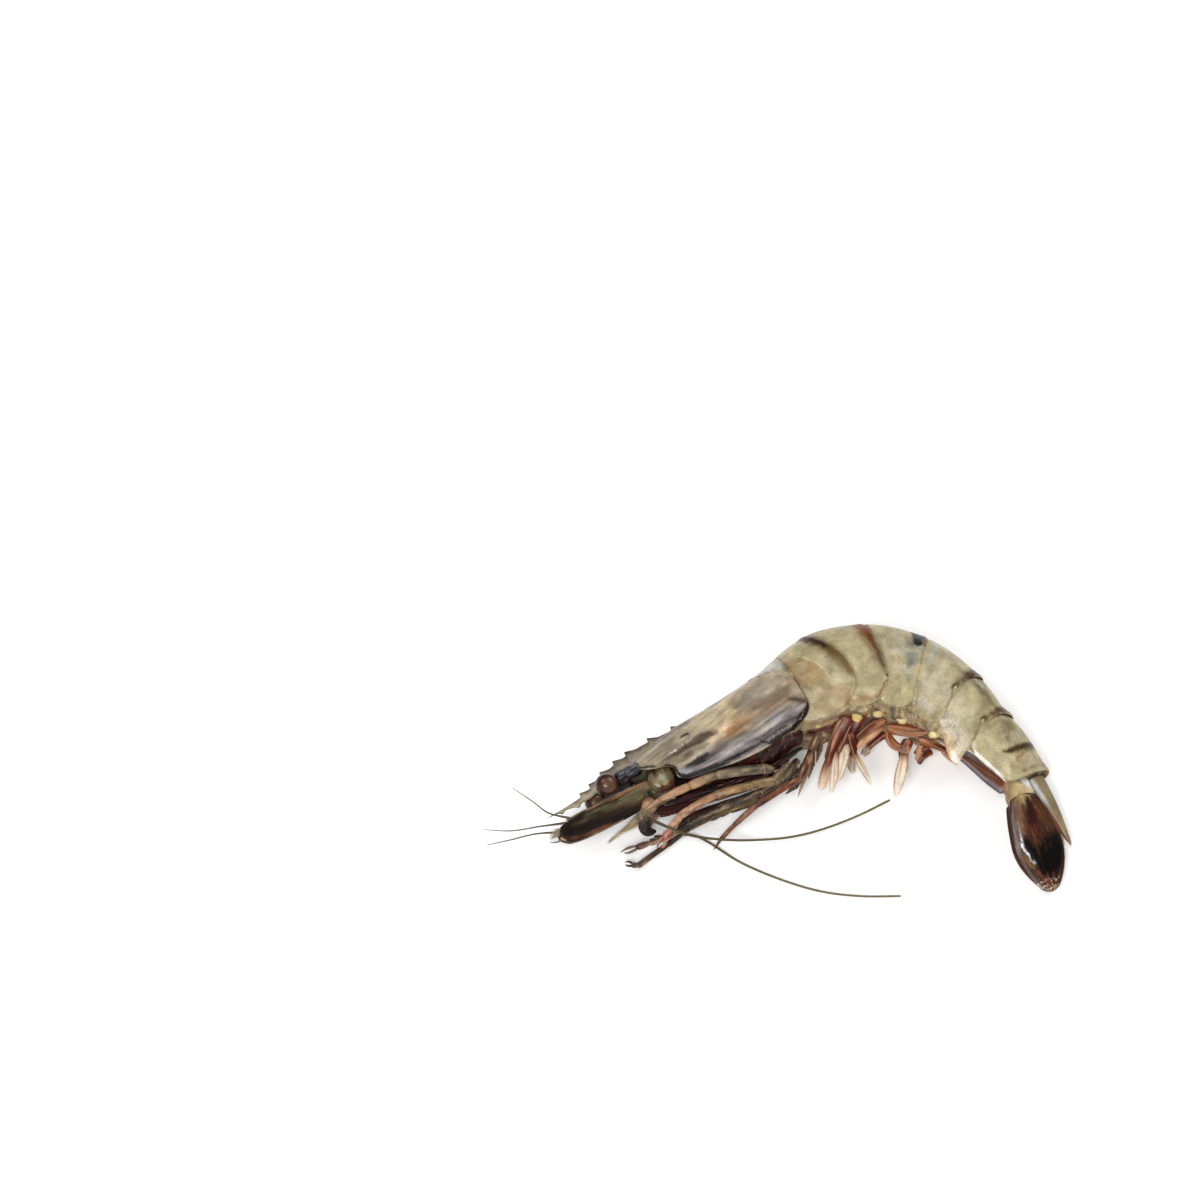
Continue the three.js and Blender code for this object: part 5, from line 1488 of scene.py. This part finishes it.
# ---- antennae ----
# A swollen clear base under each eye, a bent jointed stem and a long thin whip that trails on
# the table, ringed all along.
ANTENNAE = {
    "left": {
        "base": (4.6, -2.9, 11.3), "radii": (4, 3.9, 3.6),
        "stem": [[0.6, -5.8, 8.8], [-2.6, -7.2, 8.6], [-5.0, -9.0, 8.2], [-5.4, -11.0, 8]],
        "stem_radii": [2.5, 2.6, 2.1, 1.1],
        "knob": [[-5.0, -9.6, 8.0], [-6.2, -11.4, 7.6], [-5.9, -13.2, 7.2], [-3.5, -14.4, 7.0]],
        "whip": [[-35.8, -20.4, 10.9], [-27.6, -23.8, 9.9], [-21.9, -24.3, 7.5],
                 [-13.1, -23.7, 4], [-4.3, -22.5, 1.3], [4.4, -21.4, 0.75], [13.1, -19.2, 0.75],
                 [23.4, -15.1, 0.75], [33.9, -9.7, 0.75]]},
    "right": {
        "base": (4.2, -3.2, 3.9), "radii": (3.9, 3.8, 3.4),
        "stem": [[0.6, -7.2, 3], [-2.8, -8.6, 2.7], [-4.2, -10.2, 2.5]],
        "stem_radii": [1.7, 1.9, 1.2],
        "knob": [[-4.2, -9.8, 2.5], [-4.6, -11.2, 2.4], [-4.6, -12.6, 2.4]],
        "whip": [[-34.9, -21.6, 1.2], [-30, -21, 0.75], [-24, -20.8, 0.75],
                 [-19.5, -22.8, 0.75], [-10.2, -29.2, 0.75], [1.1, -34.5, 0.75],
                 [12.5, -38.2, 0.75], [23.9, -39.7, 0.75], [35.6, -39.7, 0.75]]},
}
WHIP_RADIUS = 0.36
WHIP_RINGS = 130


def swollen(centre, heading, radii, ball, swell):
    """A ball drawn out along the body, toward its back and upwards, and swollen."""
    heading = math.radians(heading)
    forward = np.array([math.cos(heading), math.sin(heading), 0])
    upright = np.array([-math.sin(heading), math.cos(heading), 0])
    x, y, z = (part * radius * swell for part, radius in zip(ball, radii))
    point = at(*centre) + forward * x[:, None] + upright * y[:, None]
    point[:, 2] += z
    return point


def antenna_base(side, centre, radii):
    def lay(u, v):
        x, y, z = toward(u, v)
        square = (np.abs(x) ** 3.2 + np.abs(y) ** 3.2 + np.abs(z) ** 3.2) ** (-1 / 3.2)
        swell = square * (0.94 - 0.08 * ridge(x, -0.2, 0.12) - 0.06 * ridge(y, -0.45, 0.15))
        swell = swell + 0.12 * clouds(x * 2 + 3, y * 2, 130)
        return swollen(centre, HEADINGS[0], radii, (x, y, z), swell)

    def tint(u, v):
        x, y, _ = toward(u, v)
        blot = clouds(x * 3 + 5, y * 3, 131, 4)
        ring = np.hypot(x + 0.05, y - 0.2)
        return wash(
            "#7f7355", ("#a8946c", 0.8 * smooth(-0.1, 0.35, blot)),
            ("#4f3019", 0.85 * ridge(ring, 0.5 + 0.16 * blot, 0.13) * smooth(-0.2, 0.3, y)),
            # pale grey-green patch in the middle: a painted highlight
            ("#9aa58c", 0.7 * smooth(0.42, 0.15, np.hypot(x, y + 0.1))),
            ("#5a2c18", 0.95 * smooth(-0.5, -0.75, y + 0.2 * blot)),
            ("#1d110c", 0.85 * smooth(0.72, 0.92, x + 0.1 * blot)),
            ("#5f5538", 0.8 * smooth(-0.55, -0.85, x + 0.1 * blot)))

    return laid_sheet(f"antenna_base_{side}_shell", 40, 56, lay, tint, closed=True)


BASE_SKIN = skin("antenna_base_shell", mottle=0.4, cells=0.2, rough=0.2, relief=0.2, soft=0.3,
                 depth=1.5, coat=2.0, coat_rough=0.08)
STEM_SKIN = skin("antenna_stem_shell", mottle=0.5, cells=0.3, rough=0.3, relief=0.2, soft=0.2)
WHIP_SKIN = skin("whip_skin", mottle=0.2, cells=0.0, rough=0.4, relief=0.02, soft=0.0, coat=0.4)
STEM_SHADES = blend((0, "#7d5138"), (0.35, "#b98c70"), (0.62, "#8f8064"), (1, "#5b4d3a"))
KNOB_SHADES = blend((0, "#4a3a2c"), (0.3, "#241510"), (1, "#1a0f0c"))
WHIP_SHADES = blend((0, "#4a3d28"), (0.4, "#6a5c3e"), (1, "#7b6f50"))


def stem_tint(t, across, over):
    colour = STEM_SHADES(t) * (1 + 0.8 * clouds(t * 6, across * 2, 140))[:, None]
    # The stem is darker on its underside: painted shade.
    return wash(colour, ("#3a1c14", 0.6 * smooth(0.2, -0.8, over)))


def knob_tint(t, across, over):
    return KNOB_SHADES(t) * (1 + 1.6 * clouds(t * 6, across * 3, 141))[:, None]


def whip_tint(t, across, over):
    ring = 0.35 * smooth(0.2, 0.8, np.sin(t * 2 * np.pi * WHIP_RINGS))
    return wash(WHIP_SHADES(t), ("#3b3020", ring))


for side, antenna in ANTENNAE.items():
    base = antenna_base(side, antenna["base"], antenna["radii"])
    settle(base, BASE_SKIN, "antenna_base_shell", f"antenna_base_{side}")
    knots = np.linspace(0, 1, len(antenna["stem_radii"]))
    girth = [(t, 2 * r) for t, r in zip(knots, antenna["stem_radii"])]
    stem = tube(f"antenna_stem_{side}_shell", body_route(antenna["stem"]), girth,
                scaled(girth, 0.9), stem_tint, 40, 20, 0.18)
    knob = tube(stem.name, body_route(antenna["knob"]),
                [(0, 2.2), (0.5, 3.1), (0.8, 2.4), (1, 1.2)], [(0, 1.8), (0.5, 2.7), (1, 1.0)],
                knob_tint, 32, 28, 0.18, ribs=((0.45, 0.4, 0.15), (-0.4, 0.35, 0.2)))
    settle(joined(stem.name, stem, knob), STEM_SKIN, "antenna_stem_shell",
           f"antenna_stem_{side}")
    girth = scaled([(0, 3.0), (0.1, 2.4), (1, 1.8)], WHIP_RADIUS)
    whip = tube(f"antenna_{side}_whip", antenna["whip"], girth, girth, whip_tint, 520, 8, 0.004,
                even=True)
    settle(whip, WHIP_SKIN, "whip", f"antenna_{side}")


# ---- antennules ----
# A straight stem of three joints under each eye, flat on its inner side, which ends in two
# hair-thin feelers.
ANTENNULES = {
    "left": {
        "stem": [[-1.5, -1.2, 8], [-6.2, -0.6, 8.3], [-16.2, -0.6, 8.9], [-24.6, 0.6, 8.3]],
        "radii": [2, 1.8, 1.6, 1.1],
        "feelers": [
            [[-58.6, -19.0, 8.6], [-65.2, -17.2, 8.4], [-69.9, -12.1, 5], [-76.0, -6.4, 2]],
            [[-60.0, -19.9, 7.6], [-67.8, -19.9, 5], [-76.0, -20.4, 3], [-84.4, -19.1, 0.8]]]},
    "right": {
        "stem": [[-2, -1.6, 3.2], [-6.2, -2, 3.2], [-16, -1.4, 3.2], [-25.6, -0.5, 3.2]],
        "radii": [1.8, 1.7, 1.5, 1],
        "feelers": [
            [[-61.4, -20.9, 3.2], [-69.0, -21.2, 2.6], [-76.5, -22.7, 1.6], [-83.4, -24.0, 0.8]],
            [[-60.4, -20.9, 3.0], [-61.2, -22.6, 2.2], [-63, -23.3, 1.4], [-64.9, -23.2, 0.8]]]},
}
ANTENNULE_SKIN = skin("antennule_shell", mottle=0.5, cells=0.3, rough=0.3, relief=0.15, soft=0.1)
ANTENNULE_SHADES = [(0, "#3a302a"), (0.5, "#43382c"), (0.8, "#6f6044"), (1, "#5a4d36")]
FEELER_SHADES = blend((0, "#544a33"), (0.5, "#5f5a48"), (1, "#6b6552"))
FEELER_WIDTH = [(0, 0.85), (0.3, 0.55), (0.7, 0.4), (1, 0.22)]


def feeler_tint(t, across, over):
    return FEELER_SHADES(t)


for side, antennule in ANTENNULES.items():
    stem = limb(f"antennule_{side}_stem", body_route(antennule["stem"]), antennule["radii"],
                ANTENNULE_SHADES, False, 30)
    settle(stem, ANTENNULE_SKIN, "antennule_shell", f"antennule_{side}")
    for k, points in enumerate(antennule["feelers"], 1):
        feeler = tube(f"antennule_{side}_feeler_{k}", points, FEELER_WIDTH, FEELER_WIDTH,
                      feeler_tint, 120, 8, 0.01, even=True)
        settle(feeler, WHIP_SKIN, "whip", f"antennule_feeler_{side}_{k}")


# ---- antennal scales ----
# A long leaf of shell beside each antenna. Its outer edge is a stiff rib and its thin inner
# edge carries a fringe of hairs.
SCALES = {
    "left": {"route": body_route([[-1.2, -4.4, 12.2], [-14, -4.0, 11.2], [-29.2, -3.8, 9.8]]),
             "width": 8.2},
    "right": {"route": body_route([[-2, -0.6, 0.9], [-14, -0.5, 0.8], [-28, -0.4, 0.8]]),
              "width": 6.2},
}
SCALE_SKIN = skin("scale_shell", mottle=0.45, cells=0.35, cell_colour="#150d0a", rough=0.3,
                  relief=0.12, soft=0.1, coat=0.8, shine=0.1)
SCALE_OUTLINE = [(0, 0.8), (0.08, 0.93), (0.4, 1), (0.75, 0.96), (0.92, 0.78), (1, 0.5)]
SCALE_PAINT = [
    # places in millimetres along and across the leaf
    ("#64583d", 0.9, 2.6, [(1, 0.4, 2.4), (7, 0.8, 1.5), (13, 1.2, 0.7)]),
    # pale grey-green line near the root: a painted highlight
    ("#8f8a6c", 0.6, 1.2, [(1, 1.6, 0.6), (8, 1.8, 0.4)]),
    ("#5f563d", 0.7, 1.6, [(10, 1.8, 0.8), (19, 2.4, 0.5)]),
    ("#5d543d", 0.7, 0.8, [(15, 0.4, 0.25), (24, 1.4, 0.2)]),
    ("#99724f", 0.95, 0.8, [(-4, 3.4, 1.2), (6, 3.6, 1.1), (13, 3.7, 0.7), (18, 3.8, 0.2)]),
    ("#1d1410", 0.9, 0.5, [(0, 2.9, 0.15), (12, 2.7, 0.25), (24, 2.6, 0.5)]),
    ("#17100d", 0.9, 1.2, [(3, -3.2, 0.5), (9, -3.6, 0.8), (16, -2.2, 1.2), (24, -0.6, 1.9)]),
    ("#0d0807", 0.85, 1.0, [(25, 1.0, 1.4), (27.5, 0.5, 1.0)]),
    ("#6b3d2a", 0.8, 0.7, [(11, -3.9, 0.3), (18.4, -3.3, 0.5), (25, -2.6, 0.3)]),
    ("#8a7250", 0.8, 0.5, [(13, -4.4, 0.1), (20, -3.9, 0.15)]),
    ("#b3a074", 0.9, 0.6, [(27.2, -2.8, 0.4), (28, -1.0, 0.4)]),
    ("#4a2318", 0.8, 0.6, [(27, -1.6, 0.5), (28.5, 0.8, 0.3)]),
]


def scale_tint_for(length, wide):
    def tint(t, across, over):
        x, y = t * length, across * wide / 2
        colour = brush("#261a12", x, y, SCALE_PAINT, 0.9, 150, (0.22, 1.6))
        lines = clouds(x * 0.12, y * 2.6, 152, 3)
        return colour * (1 + 0.9 * lines)[:, None]
    return tint


for side, scale in SCALES.items():
    wide = scale["width"]
    length = np.linalg.norm(scale["route"][-1] - scale["route"][0])
    outline = scaled(SCALE_OUTLINE, wide)
    leaf = tube(f"antennal_scale_{side}_leaf", scale["route"], outline, [(0, 1.3), (1, 0.5)],
                scale_tint_for(length, wide), 90, 60, 0.05,
                cup=[(0, -0.7), (0.5, -1.0), (1, -0.4)],
                ribs=((0.72, 0.3, 0.07), (0.9, 0.35, 0.08), (0.1, 0.15, 0.06)),
                slant=[(0, -3.2), (0.35, 0), (1, 0)])
    hairs = fringe(scale["route"], outline, 1.2, 90, "#a08c66", 160, 0.35, outer=False,
                   radius=0.04)
    tuft = fringe(scale["route"], outline, 3.2, 40, "#b09a84", 161, 0.95, inner=False,
                  radius=0.08)
    settle(joined(leaf.name, leaf, hairs, tuft), SCALE_SKIN, "scale_shell",
           f"antennal_scale_{side}")


# ---- mouth palp ----
# A thin frayed leaf from the far side of the mouth that lies under the near scale, pale beige
# with a bristly tip.
PALP_ROUTE = [(-36.6, -14.9, 4.0), (-40.1, -17.8, 3.4), (-44.2, -20.6, 2.6)]
PALP_WIDTH = [(0, 3.4), (0.4, 3.0), (0.8, 1.6), (1, 0.6)]
PALP_SHOOT = [(-42.4, -19.0, 3.0), (-45.4, -21.2, 2.0), (-47.9, -23.1, 1.2)]
PALP_SHADES = blend((0, "#a8976c"), (0.6, "#cbb994"), (1, "#b59c76"))


def palp_tint(t, across, over):
    lines = clouds(t * 2, across * 3, 165, 3)
    return wash(PALP_SHADES(t), ("#6b4a33", 0.7 * smooth(0.1, 0.4, lines)))


palp = tube("mouth_palp", PALP_ROUTE, PALP_WIDTH, [(0, 1.2), (1, 0.4)], palp_tint, 30, 20, 0.06)
shoot = tube("mouth_palp", PALP_SHOOT, [(0, 0.9), (0.5, 0.6), (1, 0.3)], [(0, 0.6), (1, 0.3)],
             palp_tint, 20, 8, 0.05)
palp_hairs = fringe(PALP_SHOOT, [(0, 0.9), (1, 0.3)], 1.4, 16, "#6e5238", 167, 0.3)
more_hairs = fringe(PALP_ROUTE, PALP_WIDTH, 1.3, 22, "#a48b66", 168, 0.3)
settle(joined("mouth_palp", palp, shoot, palp_hairs, more_hairs), SCALE_SKIN, "scale_shell")


# ---- tail fan ----
# Two ribbed blades on each side, hinged on a short knuckle behind the sixth ring. They are
# near black with an olive root, and fringed with hairs.
FAN = {
    "left": {
        "base": (135.4, -2.2, 9.0), "radii": (4.6, 4.3, 1.8),
        "outer": {"route": [[70.7, -12.2, 10.6], [75.3, -26.3, 7.4], [78.3, -39.5, 3.6]],
                  "width": 13.8},
        "inner": {"route": [[74.6, -12.4, 8.4], [78.8, -20, 6.2], [82.2, -26.6, 4.4]],
                  "width": 4.8}},
    "right": {
        "base": (135.6, -2.2, 3.4), "radii": (3.4, 3.2, 2.0),
        "outer": {"route": [[69.6, -11.6, 3.0], [73.2, -26, 1.6], [77.4, -37.4, 1.0]],
                  "width": 9.2},
        "inner": {"route": [[73.2, -14, 4.4], [75.4, -23, 3.2], [77.4, -31, 2.2]],
                  "width": 5.2}},
}
FAN_SKIN = skin("tail_blade", mottle=0.35, cells=0.3, cell_colour="#1c0a07", rough=0.28,
                relief=0.12, soft=0.15, coat=1.0, shine=0.08)
TELSON_SKIN = skin("telson_shell", mottle=0.4, cells=0.3, cell_colour="#4a3320", rough=0.3,
                   relief=0.15, soft=0.25, coat=1.0)
BLADE_OUTLINE = [(0, 0.56), (0.18, 0.78), (0.33, 0.9), (0.5, 1.0), (0.64, 0.95), (0.79, 0.76),
                 (0.89, 0.56), (0.97, 0.36), (1, 0.26)]
OUTER_PAINT = [
    # places in millimetres along the blade, and across it toward its outer edge
    ("#a08a5c", 0.95, 2.2, [(0, 1, 4), (1.4, -1.4, 1.8), (2.0, 2.0, 1.0)]),
    ("#55452a", 0.9, 1.0, [(3, 0.9, 0.6), (7, 1.2, 0.5)]),
    ("#785743", 0.9, 1.8, [(2, 3.4, 1.2), (6, 3.8, 1.6), (11, 4.6, 1.2)]),
    ("#9a7662", 0.6, 0.6, [(7, 3.4, 0.15), (12, 4.2, 0.2)]),
    ("#857b7b", 0.8, 1.4, [(2, 5.2, 0.3), (6, 6.0, 0.4), (12, 6.6, 0.7), (17, 6.0, 0.8)]),
    ("#30100f", 0.95, 1.2, [(2.2, -1.4, 1.0), (6, -1.4, 1.9), (9.4, -0.6, 1.5), (12, 0.2, 0.8)]),
    ("#5e3518", 0.85, 1.6, [(3, -4.0, 0.9), (8, -4.4, 1.4), (11, -4.0, 1.0)]),
    ("#855a34", 0.6, 0.5, [(4, -3.4, 0.1), (9, -3.6, 0.2), (12, -3.0, 0.15)]),
    ("#6d3a30", 0.7, 1.4, [(9.8, -0.4, 0.4), (11.2, -0.2, 0.3)]),
    ("#4a2818", 0.85, 1.2, [(10, 2.2, 1.0), (15, 1.8, 0.6)]),
    ("#080404", 1.0, 2.8, [(13.8, -5.4, 1.6), (16.5, -3.6, 3.6), (19.4, -1.6, 4.6),
                           (22.6, -0.8, 3.6)]),
    ("#070306", 1.0, 0.7, [(11, 4.4, 0.2), (14.5, 3.6, 0.9), (18.4, 2.4, 1.2)]),
    ("#0a0404", 0.9, 1.4, [(13.6, 2.6, 0.5), (17, 1.0, 1.8)]),
    ("#6b4326", 0.8, 1.2, [(9, 2.4, 0.7), (13.6, 2.0, 0.4), (17.6, 1.2, 0.1)]),
    ("#5a3220", 0.7, 0.6, [(11, -1.8, 0.2), (17.5, -1.2, 0.1)]),
    ("#5a3220", 0.6, 0.5, [(12, -3.4, 0.15), (16.5, -2.8, 0.1)]),
    ("#866238", 0.9, 0.9, [(17.6, 5.6, 0.6), (20.6, 4.4, 0.8)]),
    # white thin line along the blade: a painted highlight
    ("#f2eff0", 1.0, 0.3, [(9.4, 5.3, 0.02), (13, 5.2, 0.12), (16, 4.6, 0.15), (18, 4.0, 0.05),
                           (21, 2.9, 0.12)]),
    ("#6f3c2c", 0.95, 1.2, [(23.2, 3.4, 0.8), (25.2, 1.6, 1.4), (26.6, -0.6, 1.4)]),
    ("#7c3a28", 0.5, 0.9, [(23.6, -3.0, 0.3), (25, -1.8, 0.3)]),
    ("#150706", 0.7, 0.6, [(24.2, 1.6, 0.3), (25.6, -0.4, 0.3)]),
]
INNER_PAINT = [
    ("#8d7a50", 0.9, 2.0, [(0, 0, 2), (3, 0, 2)]),
    ("#a8552a", 0.8, 0.6, [(4, -0.8, 0.3), (14, -0.6, 0.3)]),
    ("#5a2414", 0.8, 0.8, [(6, 0.8, 0.5), (14, 0.6, 0.4)]),
]


def blade_tint_for(strokes, base, length, wide, seed):
    def tint(t, across, over):
        x, y = t * length, across * wide / 2
        colour = brush(base, x, y, strokes, 1.5, seed, (0.25, 1.8))
        lines = clouds(x * 0.1 + 4, y * 2.4, seed + 3, 3)
        # Pale flecks toward the clear tip: partly its own mosaic, partly painted glints.
        flecks_and_glints = smooth(0.14, 0.3, clouds(x * 2.2, y * 2.2, seed + 5, 3)) * smooth(0.84, 0.9, t)
        return wash(colour * (1 + 0.8 * lines)[:, None], ("#e6cdb8", 0.9 * flecks_and_glints))
    return tint


def knuckle(side, centre, radii):
    def lay(u, v):
        x, y, z = toward(u, v)
        swell = 1 + 0.1 * clouds(x * 1.6 + 9, y * 1.6, 181, 3)
        swell = swell + 0.06 * np.cos(9 * y + 2 * x)
        return swollen(centre, HEADINGS[-1], radii, (x, y, z), swell)

    def tint(u, v):
        x, y, _ = toward(u, v)
        blot = clouds(x * 2.2, y * 4, 182, 4)
        return wash(
            "#c2aa7c", ("#6d5a2c", 0.7 * smooth(0.05, 0.4, blot)),
            ("#d8c48a", 0.6 * smooth(-0.1, -0.45, blot)),
            ("#8a6a48", 0.8 * smooth(-0.3, -0.8, y + 0.3 * blot)),
            ("#e6e6e4", 0.95 * smooth(0.35, 0.7, y - 0.5 * x + 0.3 * blot)),
            ("#6b4a2c", 0.7 * smooth(0.6, 0.95, x + 0.3 * blot)))

    return laid_sheet(f"tail_knuckle_{side}", 32, 44, lay, tint, closed=True)


for seed, (side, fan) in enumerate(FAN.items()):
    settle(knuckle(side, fan["base"], fan["radii"]), TELSON_SKIN, "telson_shell",
           f"uropod_base_{side}")
    for kind, strokes, base in (("outer", OUTER_PAINT if side == "left" else [], "#432a1e"),
                                ("inner", INNER_PAINT, "#8a4020")):
        leaf, wide = fan[kind], fan[kind]["width"]
        route = np.asarray(leaf["route"], float)
        length = np.linalg.norm(route[-1] - route[0])
        outline = scaled(BLADE_OUTLINE, wide)
        plate = tube(f"tail_blade_{kind}_{side}", route, outline, [(0, 1.6), (1, 0.5)],
                     blade_tint_for(strokes, base, length, wide, 170 + 9 * seed), 110, 80, 0.05,
                     cup=[(0, -0.2), (0.5, -1.1), (1, -0.3)],
                     ribs=((-0.1, 0.12, 0.05), (0.08, 0.12, 0.05), (-0.8, 0.15, 0.06)))
        hairs = fringe(route, outline, 0.6, 110, "#7a5a42", 190 + seed, 0.5, radius=0.04)
        settle(joined(plate.name, plate, hairs), FAN_SKIN, "tail_blade", f"uropod_{kind}_{side}")


# ---- telson ----
# The pointed end piece of the shell between the blades, grooved along the back, with reddish
# hairs along its edges.
TELSON_ROUTE = body_route([[132.4, 4.2, 6.4], [144, 4.9, 4.8], [154.7, 5.2, 3.2]])
TELSON_WIDTH = [(0, 6.4), (0.3, 5.2), (0.6, 3.6), (0.9, 1.3), (1, 0.4)]


def telson_tint(t, across, over):
    lines = clouds(t * 2.5, across * 4, 201, 3)
    return wash(
        "#94825f", ("#6a5234", 0.7 * smooth(0.05, 0.4, lines)),
        ("#352818", 0.85 * smooth(-0.72, -0.95, across)),
        ("#5a4230", 0.7 * smooth(0.75, 1.0, t)),
        ("#e9e8e6", 0.95 * ridge(across, 0.62 - 0.4 * t, 0.28) * smooth(0.55, 0.3, t)),
        ("#d9cdb0", 0.8 * ridge(across, 0.45, 0.1) * smooth(0.25, 0.5, t)),
        ("#9a4a22", 0.8 * smooth(0.6, 0.9, across) * smooth(0.4, 0.6, t)))


telson = tube("telson_shell", TELSON_ROUTE, TELSON_WIDTH, [(0, 5), (0.5, 3.2), (1, 0.5)],
              telson_tint, 60, 36, 0.05, ribs=((0.28, 0.25, 0.12), (-0.28, 0.25, 0.12)))
hairs = fringe(TELSON_ROUTE, TELSON_WIDTH, 1.5, 120, "#b0562a", 200, 0.3, inner=False)
settle(joined("telson_shell", telson, hairs), TELSON_SKIN, "telson_shell", "telson")
